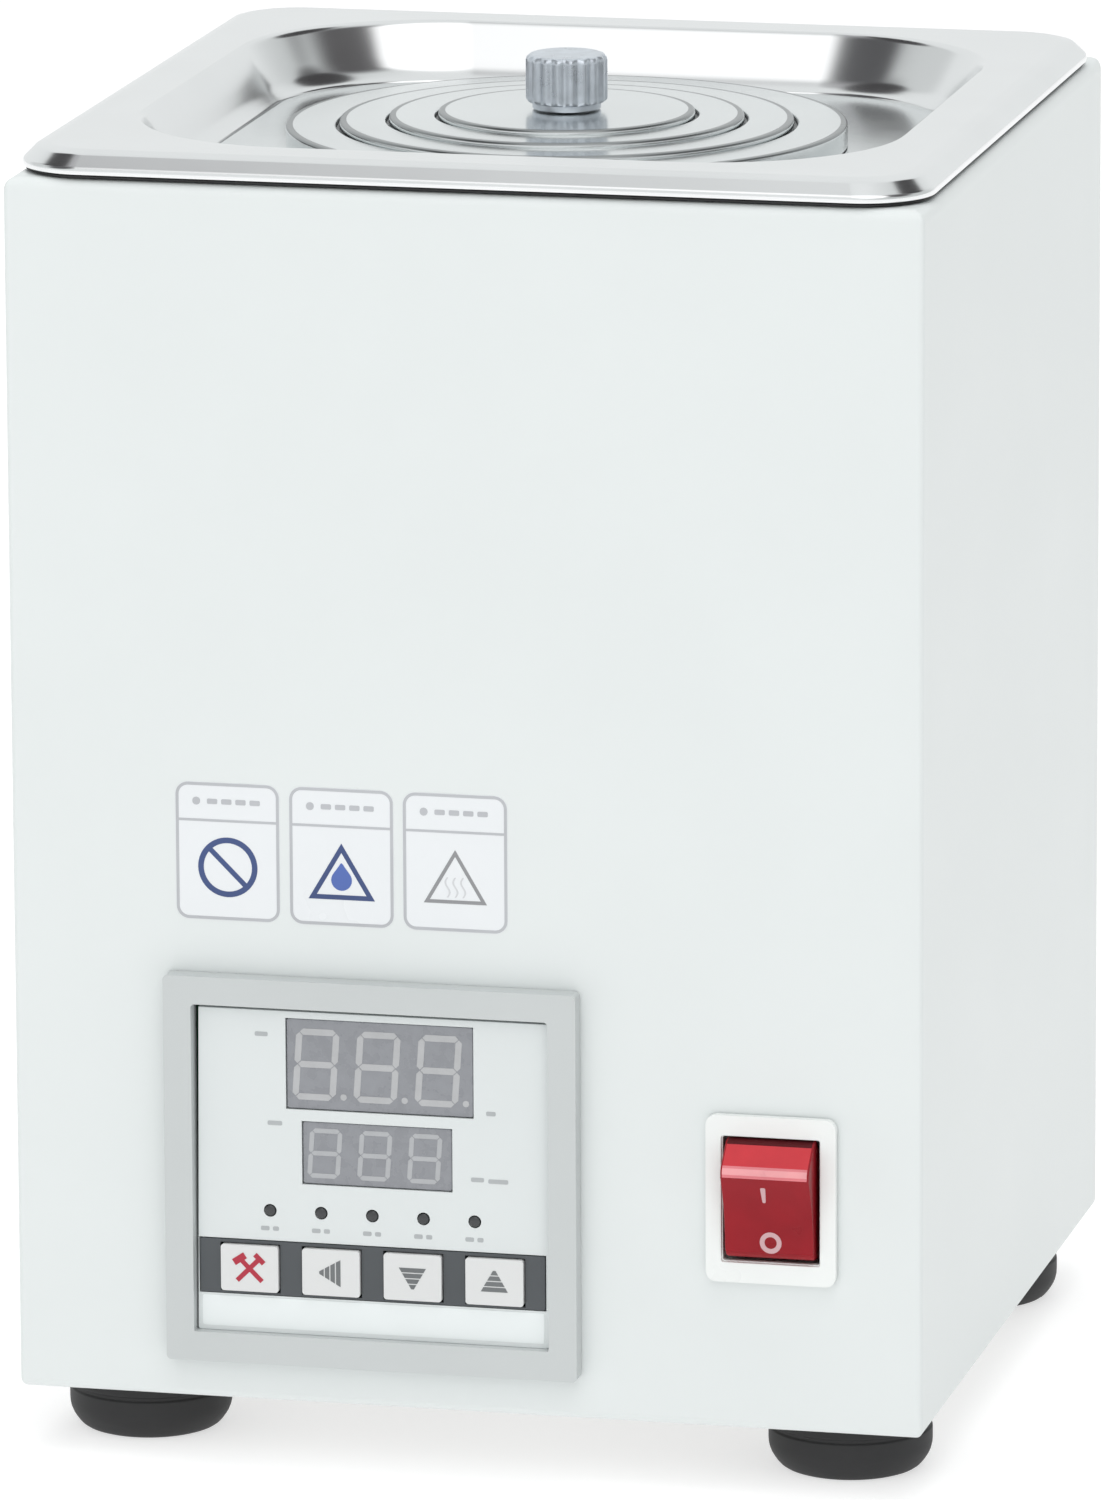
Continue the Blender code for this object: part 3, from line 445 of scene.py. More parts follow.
def make_gasket():
    """Square rubber frame between the cabinet's top and the tank's flange."""
    low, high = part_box("tank_gasket")
    half, inside, corner, inner_corner = (high[0] - low[0]) / 2, 0.097, 0.0153, 0.010
    section = [(inside, inner_corner, low[2], 0), (half, corner, low[2], 0.0003),
               (half, corner, high[2], 0.0003), (inside, inner_corner, high[2], 0)]
    loops = [at_height(rounded(size, size, radius, 14), z)
             for size, radius, z in soften(section, 3)]
    piece("gasket", skin(loops, ring=True), "rubber",
          stands_for=["tank_gasket"])


def make_feet():
    """Moulded feet with a rounded tread edge and a shallow groove."""
    for name in ("front_left", "rear_left", "front_right", "rear_right"):
        node = "foot_" + name
        low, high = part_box(node)
        radius = (high[0] - low[0]) / 2
        top, centre = high[2], middle(node)
        hole, recess, recess_top, groove = 0.0025, 0.0052, 0.0063, 0.0004
        section = [(recess, 0.0, 0.0003), (radius - 0.0030, 0.0, 0.0020), (radius, 0.0042, 0.0022),
                   (radius, top - 0.0044, 0.0002), (radius - groove, top - 0.0040, 0.0001),
                   (radius - groove, top - 0.0034, 0.0001), (radius, top - 0.0030, 0.0002),
                   (radius - 0.0002, top, 0.0004), (hole, top, 0), (hole, recess_top, 0),
                   (recess, recess_top, 0)]
        piece("rubber_" + node, lathe(section, 72), "rubber",
              stands_for=[node], matrix=Matrix.Translation((centre[0], centre[1], 0)))


# ---------------- tank and lids
def make_tank():
    """Deep-drawn tank with its flange, in stations of half width, corner
    radius, height and cut."""
    low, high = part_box("tank")
    rim, top = (high[0] - low[0]) / 2, high[2]
    foot = top - 0.0050
    ledge, floor, sheet = 0.2870, 0.1716, 0.0010
    stations = [
        (0.0030, 0.00299, low[2], 0), (0.0030, 0.00299, floor - sheet, 0),
        (0.0600, 0.0275, floor - sheet, 0.0090), (0.0696, 0.0306, 0.1806, 0.0070),
        (0.0736, 0.0340, ledge - sheet, 0.0020), (0.0805, 0.0394, ledge - sheet, 0.0006),
        (0.0805, 0.0394, 0.2890, 0.0008), (0.0828, 0.0411, 0.2896, 0.0012),
        (0.0886, 0.0452, top - sheet, 0.0014), (0.0990, 0.0126, top - sheet, 0.0012),
        (0.1012, 0.0138, top - 0.0017, 0.0006), (rim - sheet, 0.0152, top - 0.0040, 0.0005),
        (rim - sheet, 0.0152, foot, 0), (rim, 0.0160, foot, 0.0002),
        (rim, 0.0160, top - 0.0036, 0.0007), (0.1014, 0.0141, top - 0.0006, 0.0006),
        (0.0990, 0.0127, top, 0.0012), (0.0879, 0.0446, top, 0.0016),
        (0.0832, 0.0412, 0.2930, 0.0012), (0.0819, 0.0403, 0.2908, 0.0011),
        (0.0805, 0.0394, 0.2893, 0.0009),
        (0.0793, 0.0386, 0.2884, 0.0006), (0.0793, 0.0386, ledge, 0.0004),
        (0.0730, 0.0333, ledge, 0.0022), (0.0688, 0.0302, 0.1816, 0.0075),
        (0.0595, 0.0272, floor, 0.0100), (0.0400, 0.0200, floor, 0),
    ]
    loops = [at_height(rounded(half, half, corner, 20), z)
             for half, corner, z in soften(stations, 7)]
    piece("tank_pressing", skin(loops), "polished", stands_for=["tank"], sharp=40)


def make_cover_plate():
    """Square plate with a raised neck round its hole."""
    low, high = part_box("cover_plate")
    half = (high[0] - low[0]) / 2
    bottom, sheet, neck = low[2], 0.0010, 0.0610
    steps = 35
    square = rounded(half, half, 0.038, steps)
    points = len(square)
    even = circle(1.0, points)

    def ring(radius, z):
        return [Vector((x * radius, y * radius, z)) for x, y in even]

    inset = rounded(half - 0.0002, half - 0.0002, 0.0378, steps)
    loops = [at_height(square, bottom), at_height(square, bottom + sheet - 0.0002),
             at_height(inset, bottom + sheet)]
    path = soften([(neck + 0.0020, bottom + sheet, 0), (neck, bottom + sheet, 0.0010),
                   (neck, high[2], 0.0003), (neck - 0.0008, high[2], 0.0003),
                   (neck - 0.0008, bottom, 0.0006), (neck + 0.0020, bottom, 0)], 4)
    loops += [ring(radius, z) for radius, z in path]
    piece("plate_over_well", skin(loops, ring=True), "lid_steel", body="cover_plate_body",
          stands_for=["cover_plate"], sharp=40)


def lid_ring(node, next_radius):
    """One nesting ring: outer skirt, flat top and a sunk seat for the next."""
    low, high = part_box(node)
    radius, top = LID_RADII[node], high[2]
    foot = low[2] if node == "ring_outer" else top - 0.0022
    sheet, play, sunk, ledge = 0.0008, 0.0008, 0.0015, 0.0034
    wall, seat = next_radius + play, top - sunk
    hole = wall - ledge
    section = [(radius, foot, 0.0001), (radius, top, 0.0009), (radius - LID_RIM, top, 0),
               (wall, top, 0.0007), (wall, seat, 0.0003), (hole, seat, 0.0002),
               (hole, seat - sheet, 0.0002), (wall + sheet, seat - sheet, 0.0005),
               (wall + sheet, top - sheet, 0.0003),
               (radius - sheet, top - sheet, 0.0005), (radius - sheet, foot, 0.0001)]
    made = piece("lid_" + node, lathe(section, 160), "lid_steel", body=node + "_body",
                 stands_for=[node])
    # Darker steel on the sunk seat and its wall is painted shade in the groove between rings.
    made.data.materials.append(LOOK["seat"])
    for face in made.data.polygons:
        reach = math.hypot(face.center.x, face.center.y)
        if face.center.z < top - 0.0006 and reach < wall + 0.0001:
            face.material_index = 1
    darken_rim(made, radius, top)


def darken_rim(lid, radius, top):
    """Darker steel on the rounded rim of a lid, a painted dark reflection."""
    lid.data.materials.append(LOOK["rim"])
    for face in lid.data.polygons:
        reach = math.hypot(face.center.x, face.center.y)
        if face.center.z > top - 0.0005 and reach > radius - LID_RIM:
            face.material_index = len(lid.data.materials) - 1


def make_lids():
    """Three nesting rings and the disc in their middle."""
    for node, next_lid in (("ring_outer", "ring_middle"), ("ring_middle", "ring_inner"),
                           ("ring_inner", "centre_lid")):
        lid_ring(node, LID_RADII[next_lid])
    low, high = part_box("centre_lid")
    radius, top, sheet, bore = LID_RADII["centre_lid"], high[2], 0.0008, 0.0024
    section = [(radius, low[2], 0.0001), (radius, top, 0.0009), (radius - LID_RIM, top, 0),
               (bore, top, 0), (bore, top - sheet, 0),
               (radius - sheet, top - sheet, 0.0005), (radius - sheet, low[2], 0.0001)]
    disc = piece("lid_disc", lathe(section, 144), "lid_steel", body="centre_lid_body",
                 stands_for=["centre_lid"])
    darken_rim(disc, radius, top)


def make_knob():
    """Turned neck and a grip with rounded flutes cut along it."""
    low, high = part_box("lid_knob")
    radius = (high[0] - low[0]) / 2
    bottom, top, neck, bore, flutes, points = low[2], high[2], 0.0079, 0.0023, 18, 180

    def fluted(size, z, depth):
        loop = []
        for i in range(points):
            angle = 2 * math.pi * i / points
            wave = abs(math.sin(flutes * angle / 2)) ** 1.5
            reach = size - depth * (1 - wave)
            loop.append(Vector((reach * math.cos(angle), reach * math.sin(angle), z)))
        return loop

    path = soften([(bore, bottom + 0.008, 0), (bore, bottom, 0), (neck, bottom, 0.0003),
                   (neck, bottom + 0.0014, 0)], 3)
    loops = [at_height(circle(r, points), z) for r, z in path]
    grip = bottom + 0.0016
    for size, z, depth in (
            (neck + 0.0003, grip - 0.0001, 0.0), (radius - 0.0006, grip, 0.0002),
            (radius - 0.0001, grip + 0.0004, 0.0006), (radius, grip + 0.0009, 0.0007),
            (radius, top - 0.0014, 0.0007), (radius - 0.0002, top - 0.0007, 0.0006),
            (radius - 0.0007, top - 0.0002, 0.0003), (radius - 0.0013, top, 0.0)):
        loops.append(fluted(size, z, depth))
    loops.append(at_height(circle(radius * 0.45, points), top - 0.0001))
    piece("knob_grip", skin(loops), "knob", body="centre_lid_body",
          stands_for=["lid_knob"], sharp=50)


# ---------------- controller
def make_bezel():
    """Frame whose inner edge ends on the controller's face at its foot."""
    centre, size = middle("controller_frame"), half_size("controller_frame")
    front, back, border = stand_off("controller_frame"), 0.0003, 0.0066
    inner_x, inner_z = size[0] - border, size[2] - border
    stations = [
        (size[0], size[2], 0.0011, back, 0), (size[0], size[2], 0.0011, front, 0.0007),
        (inner_x + 0.0004, inner_z + 0.0004, 0.0009, front, 0.0004),
        (inner_x, inner_z, 0.0008, back, 0)]
    loops = rounded_loops(stations, 5, 4)
    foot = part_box("controller_face")[0][2] - centre[2] - 0.00004
    for loop in loops:
        for point in loop:
            if point.y < 0 and abs(point.x) < inner_x and point.y > foot - 0.0005:
                point.y = foot
    piece("controller_bezel", skin(loops, ring=True), "bezel",
          stands_for=["controller_frame"], matrix=front_matrix(centre[0], centre[2]))


def make_face():
    """Foil-covered face round the windows, with its lower field set off."""
    centre, size = middle("controller_face"), half_size("controller_face")
    front = stand_off("controller_face")
    matrix = front_matrix(centre[0], centre[2])
    holes = bmesh.new()
    for node in ("pv_display", "sv_display", "button_strip"):
        cut_window(holes, node, centre, 0.0002, front)
    for i in range(1, 6):
        at = middle(f"indicator_lamp_{i}")
        cylinder_mesh(holes, 0.0015, front - 0.004, front + 0.004, at[0] - centre[0],
                      at[2] - centre[2])
    groove = 0.0008  # open along the bezel, at the left and the top
    outline = [(x if x > 0 else x + groove * (0.5 + 0.5 * y / size[2]),
                min(y, size[2] - groove * 0.8)) for x, y in rounded(size[0], size[2], 0.0006, 3)]
    body = plate(outline, front - 0.0015, front, 0.0001)
    piece("controller_foil", body, "face", stands_for=["controller_face"],
          matrix=matrix, cutter=holes)
    lower, upper = 0.0004 - size[2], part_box("button_strip")[0][2] - centre[2]
    field = rounded(size[0] - 0.0011, (upper - lower) / 2 - 0.0007, 0.0005, 3)
    field = [(x, y + (upper + lower) / 2) for x, y in field]
    printed("controller_lower_field", [flat(field, 0.00010)], "field",
            front_matrix(centre[0], centre[2], front))


def segment(length, width, bevel):
    """Outline of one display segment along X, about its middle."""
    half, side = length / 2, width / 2
    return [(half, 0), (half - bevel, side), (-half + bevel, side), (-half, 0),
            (-half + bevel, -side), (half - bevel, -side)]


def digit(width, height, stroke, x):
    """Slanted seven-segment figure at x, with every segment as a thin plate."""
    parts, slant = [], 0.07
    across, up = width - stroke, height / 2 - stroke / 2
    spots = [(0, up, 0), (0, 0, 0), (0, -up, 0)]
    spots += [(sx * across / 2, sy * up / 2, 1) for sx in (-1, 1) for sy in (-1, 1)]
    for sx, sy, upright in spots:
        length = (up if upright else across) - stroke * 0.16
        outline = segment(length, stroke, stroke * 0.5)
        if upright:
            outline = [(-b, a) for a, b in outline]
        outline = [(x + sx + a + slant * (sy + b), sy + b) for a, b in outline]
        parts.append(flat(outline, 0.00008, 0.0))
    return parts


def make_displays():
    """Grey windows with unlit figures."""
    for node, name, width, height, stroke, pitch, dots, look in (
            ("pv_display", "upper_display", 0.0101, 0.0166, 0.0015, 0.0142, True, "segment"),
            ("sv_display", "lower_display", 0.0076, 0.0116, 0.0011, 0.0116, False, "segment_dim")):
        centre, size, front = middle(node), half_size(node), stand_off(node)
        matrix = front_matrix(centre[0], centre[2])
        glass = plate(rounded(size[0], size[2], 0.0005, 3), front - 0.004, front, 0.0002)
        piece(name, glass, "window", stands_for=[node], matrix=matrix)
        parts = []
        for i in range(3):
            parts += digit(width, height, stroke, (i - 1) * pitch - 0.0006)
            if dots:
                spot = [(x + (i - 1) * pitch + width / 2 + 0.0007, y - height / 2 + 0.0010)
                        for x, y in circle(0.00075, 20)]
                parts.append(flat(spot, 0.00008, 0.0))
        piece(name + "_figures", join(parts), look,
              matrix=front_matrix(centre[0], centre[2], front - 0.00002))


def printed(name, meshes, material, matrix, body=HOUSING):
    """Raised print. The meshes stand on their matrix's plane."""
    return piece(name, join(meshes), material, body=body, matrix=matrix)


def flat(outline, thick=0.00006, sink=0.00003):
    return skin([at_height(outline, -sink), at_height(outline, thick)])


def bar(x0, y0, x1, y1, width):
    """Outline of a straight stroke with square ends."""
    along = Vector((x1 - x0, y1 - y0)).normalized()
    side = Vector((-along.y, along.x)) * width / 2
    return [(x0 - side.x, y0 - side.y), (x1 - side.x, y1 - side.y),
            (x1 + side.x, y1 + side.y), (x0 + side.x, y0 + side.y)]


def make_legends():
    """Short plain dashes where a controller carries its legends."""
    centre = middle("controller_face")
    matrix = front_matrix(centre[0], centre[2], stand_off("controller_face"))
    dashes = []
    for x, y, wide in ((-0.0255, 0.0318, 0.0030), (-0.0225, 0.0112, 0.0034),
                       (0.0277, 0.0160, 0.0022), (0.0245, 0.0005, 0.0030),
                       (0.0293, 0.0003, 0.0046)):
        dashes.append(flat(rounded_at(x, y, wide / 2, 0.0005)))
    for i in range(1, 6):
        at = middle(f"indicator_lamp_{i}")
        x, y = at[0] - centre[0], at[2] - centre[2] - 0.0042
        dashes.append(flat(rounded_at(x - 0.0012, y, 0.0010, 0.0005)))
        dashes.append(flat(rounded_at(x + 0.0013, y, 0.0007, 0.0005)))
    printed("controller_legends", dashes, "print_pale", matrix)


def rounded_at(x, y, half_x, half_y, radius=0.0003):
    return [(x + a, y + b) for a, b in rounded(half_x, half_y, radius, 3)]


def make_lamps():
    for i in range(1, 6):
        node = f"indicator_lamp_{i}"
        centre, front = middle(node), stand_off(node)
        path = soften([(0.00125, -0.0025, 0), (0.00125, front - 0.0003, 0.0003),
                       (0.00001, front, 0)], 4)
        loops = [at_height(circle(r, 32), z) for r, z in path[:-1]]
        loops.append(at_height(circle(0.0003, 32), front))
        piece(f"lamp_lens_{i}", skin(loops), "lens", stands_for=[node],
              matrix=front_matrix(centre[0], centre[2]))


def make_strip():
    centre, size = middle("button_strip"), half_size("button_strip")
    front = stand_off("button_strip")
    holes = bmesh.new()
    for node in BUTTONS:
        cut_window(holes, node, centre, 0.0003, front)
    body = plate(rounded(size[0], size[2], 0.0004, 3), front - 0.0017, front, 0.00015)
    piece("key_strip", body, "strip", stands_for=["button_strip"],
          matrix=front_matrix(centre[0], centre[2]), cutter=holes)


def make_buttons():
    """Caps on stems, each with its mark."""
    for node in BUTTONS:
        centre, size, front = middle(node), half_size(node), stand_off(node)
        back, stem, under = FRONT_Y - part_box(node)[1][1], 0.0022, front - 0.0033
        body = node + "_body"
        stations = [(stem, stem, 0.0006, back, 0), (stem, stem, 0.0006, under, 0),
                    (size[0], size[2], 0.0007, under, 0.0001),
                    (size[0], size[2], 0.0007, front, 0.0005), (0.0010, 0.0010, 0.0001, front, 0)]
        piece(node + "_cap", skin(rounded_loops(stations, 5, 4)), "button", body=body,
              stands_for=[node], matrix=front_matrix(centre[0], centre[2]))
        make_button_mark(node, body, front_matrix(centre[0], centre[2], front))


def make_button_mark(node, body, matrix):
    """Crossed tools on the first button and a striped arrow on the others."""
    if node == "set_button":
        size = 0.0029
        strokes = [bar(-size, -size, size * 0.7, size * 0.7, 0.0011),
                   bar(size, -size, -size * 0.7, size * 0.7, 0.0011)]
        heads = [bar(size * 0.45, size * 1.15, size * 1.15, size * 0.45, 0.0012),
                 bar(-size * 1.25, size * 0.45, -size * 0.35, size * 1.05, 0.0016)]
        marks = [flat(outline, 0.00005 + 0.00001 * i) for i, outline in enumerate(strokes + heads)]
        printed("set_mark", marks, "print_red", matrix, body)
        return
    turn = {"left_button": math.pi / 2, "down_button": math.pi, "up_button": 0.0}[node]
    rows, count, tip, height = [], 4, 0.0027, 0.0052
    for i in range(count):
        top, low = tip - height * i / count, tip - height * (i + 0.80) / count
        wide = [0.0030 * (tip - value) / height + 0.0003 for value in (low, top)]
        rows.append([(-wide[0], low), (wide[0], low), (wide[1], top), (-wide[1], top)])
    cos, sin = math.cos(turn), math.sin(turn)
    marks = [flat([(x * cos - y * sin, x * sin + y * cos) for x, y in row]) for row in rows]
    printed(node.replace("button", "arrow"), marks, "print_grey", matrix, body)


# ---------------- rocker switch
def make_switch():
    """Switch body: neck in the cabinet, flange, and a well for the rocker."""
    centre, size, front = middle("switch_body"), half_size("switch_body"), stand_off("switch_body")
    back = FRONT_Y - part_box("switch_body")[1][1]
    neck_x, neck_z = size[0] - 0.0023, size[2] - 0.0024
    open_x, open_z = 0.0111, 0.0144
    stations = [
        (neck_x, neck_z, 0.0010, back, 0), (neck_x, neck_z, 0.0010, 0.0003, 0),
        (size[0], size[2], 0.0024, 0.0003, 0), (size[0], size[2], 0.0024, front, 0.0009),
        (open_x + 0.0007, open_z + 0.0007, 0.0009, front, 0.0006),
        (open_x, open_z, 0.0005, front - 0.0008, 0.0003), (open_x, open_z, 0.0005, 0.0002, 0),
        (open_x + 0.0002, open_z + 0.0009, 0.0005, -0.0006, 0),
        (open_x + 0.0002, open_z + 0.0009, 0.0005, -0.0150, 0)]
    piece("switch_housing", skin(rounded_loops(stations, 6, 4)), "switch",
          stands_for=["switch_body"], matrix=front_matrix(centre[0], centre[2]))


def make_rocker():
    """Rocker with a shallow dished face. Its two marks are inlaid and turn
    with it."""
    low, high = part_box("switch_rocker")
    pivot = Vector((middle("switch_rocker")[0], FRONT_Y + 0.0024, 0.0694))
    half = (high[0] - low[0]) / 2
    tilt = math.radians(16.0)
    face, edge, dish = 0.00905, 0.0110, 0.00125
    tip, tip_out = 0.0146, 0.0010
    flat_end = edge - 0.0014

    def height(up):
        return face - dish * (1 - (abs(up) / flat_end) ** 1.7)

    steps = 16
    upper = [(flat_end * i / (steps - 1), height(flat_end * i / (steps - 1))) for i in range(steps)]
    ridge = soften([(0.0, face - dish, 0), (edge + 0.0001, face - 0.00017, 0.0016),
                    (tip, tip_out, 0)], 9)[1:-1]
    upper += [tuple(point) for point in ridge if point.x > flat_end + 0.0001]
    upper += [(0.0142, 0.0020), (tip, tip_out), (0.0144, -0.0012), (0.0080, -0.0045)]
    outline = upper + [(0.0, -0.0060)] + [(-up, out) for up, out in reversed(upper[1:])]
    soft = 0.0005
    loops = []
    for x, inset in ((-half, soft), (-half + soft * 0.3, soft * 0.3), (-half + soft, 0.0),
                     (half - soft, 0.0), (half - soft * 0.3, soft * 0.3), (half, soft)):
        shrink_up, shrink_out = 1 - inset / tip, 1 - inset / face
        loops.append([Vector((x, up * shrink_up, out * shrink_out)) for up, out in outline])
    matrix = Matrix.Translation(pivot) @ Matrix.Rotation(math.pi / 2 + tilt, 4, "X")
    made = piece("rocker", skin(loops), "red", body="rocker_body",
                 stands_for=["switch_rocker"], matrix=matrix, sharp=38)
    # Painted light and shade on the rocker: a lighter end face where light falls from above, a
    # painted highlight along the ridge with paler flanks, and painted shade on the tip by the
    # opening.
    tones = ("red_painted_lit_end", "red_painted_highlight_flank", "red_painted_highlight_ridge", "red_painted_shade")
    to_rocker = matrix.inverted()
    for tone in tones:
        made.data.materials.append(LOOK[tone])
    for flat_part in made.data.polygons:
        across, up, out = to_rocker @ flat_part.center
        from_ridge = math.hypot(up - edge, out - face + 0.0004)
        if up < flat_end - 0.0012 or abs(across) > half * 0.96:
            continue
        tone = ("red_painted_highlight_ridge" if from_ridge < 0.0007 else "red_painted_highlight_flank" if from_ridge < 0.0016
                else "red_painted_shade" if out < 0.0020 else "red_painted_lit_end" if up > edge else "red")
        flat_part.material_index = (("red",) + tones).index(tone)

    def lie_on_face(points):
        """Two loops that follow the dished face, one under it and one over."""
        return [[Vector((x, up, height(up) + lift)) for x, up in points]
                for lift in (-0.0002, 0.00006)]

    stroke = [(x * (0.75 + 90 * y) - 0.0006, y + 0.0050)
              for x, y in rounded(0.00065, 0.0021, 0.0004, 4)]
    (under, over), (inner_under, inner_over) = [
        lie_on_face([(x + 0.0004, y - 0.0071) for x, y in circle(radius, 40)])
        for radius in (0.0025, 0.0014)]
    marks = [skin(lie_on_face(stroke)),
             skin([under, over, inner_over, inner_under], ring=True)]
    piece("rocker_marks", join(marks), "mark", body="rocker_body",
          matrix=matrix)


# ---------------- stickers
def make_stickers():
    """Three small film stickers above the controller with plain symbols."""
    half_x, half_z, middle_z = 0.0121, 0.0159, 0.1432
    for name, x in (("left", -0.0546), ("middle", -0.0282), ("right", -0.0019)):
        matrix = front_matrix(x, middle_z)
        film = plate(rounded(half_x, half_z, 0.0030, 8), -0.00002, 0.00010, 0.00004)
        piece(f"sticker_{name}", film, "sticker", matrix=matrix)
        over = front_matrix(x, middle_z, 0.00010)
        border = band(rounded(half_x - 0.0001, half_z - 0.0001, 0.0029, 8),
                      rounded(half_x - 0.0008, half_z - 0.0008, 0.0022, 8), -0.00003, 0.00004)
        rule_z = half_z - 0.0088
        rule = flat(rounded_at(0, rule_z, half_x - 0.0005, 0.00028, 0.00005))
        printed(f"sticker_{name}_border", [border, rule], "print_line", over)
        heading = [flat(rounded_at(-0.0072, rule_z + 0.0044, 0.0009, 0.0009, 0.0008))]
        heading += [flat(rounded_at(-0.0035 + 0.0033 * i, rule_z + 0.0044, 0.0012, 0.0006))
                    for i in range(4)]
        printed(f"sticker_{name}_heading", heading, "print_line", over)
        make_symbol(name, front_matrix(x, middle_z - 0.0036, 0.00010))


def triangle(half, low, high):
    return [(-half, low), (half, low), (0.0, high)]


def inset_triangle(half, low, high, stroke):
    """The triangle left inside a stroke of that width."""
    slope = math.atan2(high - low, half)
    side = stroke / math.tan(slope / 2)
    rise = stroke / math.cos(slope)
    return triangle(half - side, low + stroke, high - rise)


def triangle_sign(name, shape, stroke, ink, matrix):
    border = band(triangle(*shape), inset_triangle(*shape, stroke), -0.00003, 0.00005)
    printed(name, [border], ink, matrix)


def make_symbol(name, matrix):
    """Slashed ring, drop in a triangle, or heat waves in a triangle."""
    if name == "left":
        ring = band(circle(0.0069, 56), circle(0.0056, 56), -0.00003, 0.00005)
        reach = 0.0060 * math.sqrt(0.5)
        slash = flat(bar(-reach, reach, reach, -reach, 0.0012), 0.00004)
        printed("ring_symbol", [ring, slash], "print_navy", matrix)
    elif name == "middle":
        triangle_sign("drop_symbol_border", (0.0077, -0.0062, 0.0068), 0.0011, "print_navy",
                      matrix)
        drop = []
        for i in range(28):
            angle = 2 * math.pi * i / 28
            pull = max(0.0, math.sin(angle)) ** 5
            drop.append((0.0024 * math.cos(angle) * (1 - 0.55 * pull),
                         -0.0017 + 0.0024 * math.sin(angle) + 0.0016 * pull))
        printed("drop_symbol", [flat(drop)], "print_blue", matrix)
    else:
        triangle_sign("heat_symbol_border", (0.0073, -0.0058, 0.0066), 0.0008, "print_mid",
                      matrix)
        waves = []
        for shift in (-0.0018, 0.0, 0.0018):
            left, right = [], []
            for i in range(13):
                y = -0.0044 + 0.0046 * i / 12
                x = shift + 0.0005 * math.sin(2 * math.pi * i / 12)
                left.append((x - 0.0002, y))
                right.append((x + 0.0002, y))
            waves.append(flat(right + list(reversed(left))))
        printed("heat_symbol", waves, "print_faint", matrix)


# ---------------- screws
def make_screws():
    """Domed heads with a cross recess."""
    names = [f"rear_screw_{i}" for i in range(1, 5)] + [f"inlet_screw_{i}" for i in (1, 2)]
    for node in names:
        low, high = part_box(node)
        centre, length = middle(node), high[1] - low[1]
        radius = (high[0] - low[0]) / 2
        shank, thick = (0.0015, 0.0020) if node.startswith("rear") else (0.0014, 0.0012)
        head = length - thick
        path = soften([(shank, 0.0, 0), (shank, head, 0), (radius, head, 0.0001),
                       (radius, head + (length - head) * 0.4, 0.0004),
                       (radius * 0.55, length, 0.0008), (0.0002, length, 0)], 5)
        loops = [at_height(circle(max(r, 0.0002), 40), z) for r, z in path]
        arm, slit = radius * 0.52, 0.00032
        cross = []
        for quarter in range(4):
            cos, sin = ((1, 0), (0, 1), (-1, 0), (0, -1))[quarter]
            cross += [(x * cos - y * sin, x * sin + y * cos)
                      for x, y in ((slit, slit), (slit, arm), (-slit, arm))]
        cross = skin([at_height(cross, length - (length - head) * 0.55),
                      at_height(cross, length + 0.001)])
        matrix = rear_matrix(centre[0], centre[2], low[1] + FRONT_Y)
        piece(node + "_head", skin(loops), "zinc", stands_for=[node],
              matrix=matrix, cutter=cross)


# ---------------- carried nodes
def finish_cad_node(node, material, bevel):
    """A CAD node that stays: merged corners, small edge bevel, real material."""
    shown = nodes[node]
    shown.data.materials.clear()
    shown.data.materials.append(LOOK[material])
    weld = shown.modifiers.new("weld", "WELD")
    weld.merge_threshold = 0.00001
    if bevel:
        round_over = shown.modifiers.new("bevel", "BEVEL")
        round_over.width = bevel
        round_over.segments = 2
        round_over.limit_method = "ANGLE"
        round_over.angle_limit = math.radians(40)
    shown.modifiers.new("even_normals", "WEIGHTED_NORMAL")


def finish_cad_nodes():
    screws = [f"foot_screw_{end}_{side}" for end in ("front", "rear") for side in ("left", "right")]
    for material, bevel, names in (
            ("powder", 0.0003, ["rear_panel"]),
            ("zinc", 0.0002, ["base_plate", "knob_screw", "heater_clamp", "heater_nut",
                              "probe_clip", "controller_clamp_left", "controller_clamp_right",
                              *screws]),
            ("lid_steel", 0.0002, ["perforated_shelf", "temperature_probe"]),
            ("dark", 0.0003, ["controller_housing", "terminal_block", "thermal_cutout",
                              "inlet_body", "fuse_drawer"]),
            ("brass", 0.0003, ["inlet_pin_earth", "inlet_pin_line", "inlet_pin_neutral"]),
            ("board", 0.0, ["controller_board"]), ("wool", 0.002, ["insulation_jacket"]),
            ("heater", 0.0005, ["heater_plate"])):
        for node in names:
            finish_cad_node(node, material, bevel)


# ---------------- studio
def make_floor():
    """White paper that glows a little, so it stays as bright as the photo's."""
    mesh = bmesh.new()
    bmesh.ops.create_grid(mesh, x_segments=1, y_segments=1, size=30.0)
    data = bpy.data.meshes.new("studio_floor")
    mesh.to_mesh(data)
    mesh.free()
    floor = bpy.data.objects.new("studio_floor", data)
    bpy.context.scene.collection.objects.link(floor)
    paper = new_material("studio_floor", (0.50, 0.50, 0.50), 0.9)
    shader = shader_of(paper)
    shader.inputs["Specular IOR Level"].default_value = 0.1
    shader.inputs["Emission Color"].default_value = (1.0, 1.0, 1.0, 1.0)
    shader.inputs["Emission Strength"].default_value = 0.62
    data.materials.append(paper)


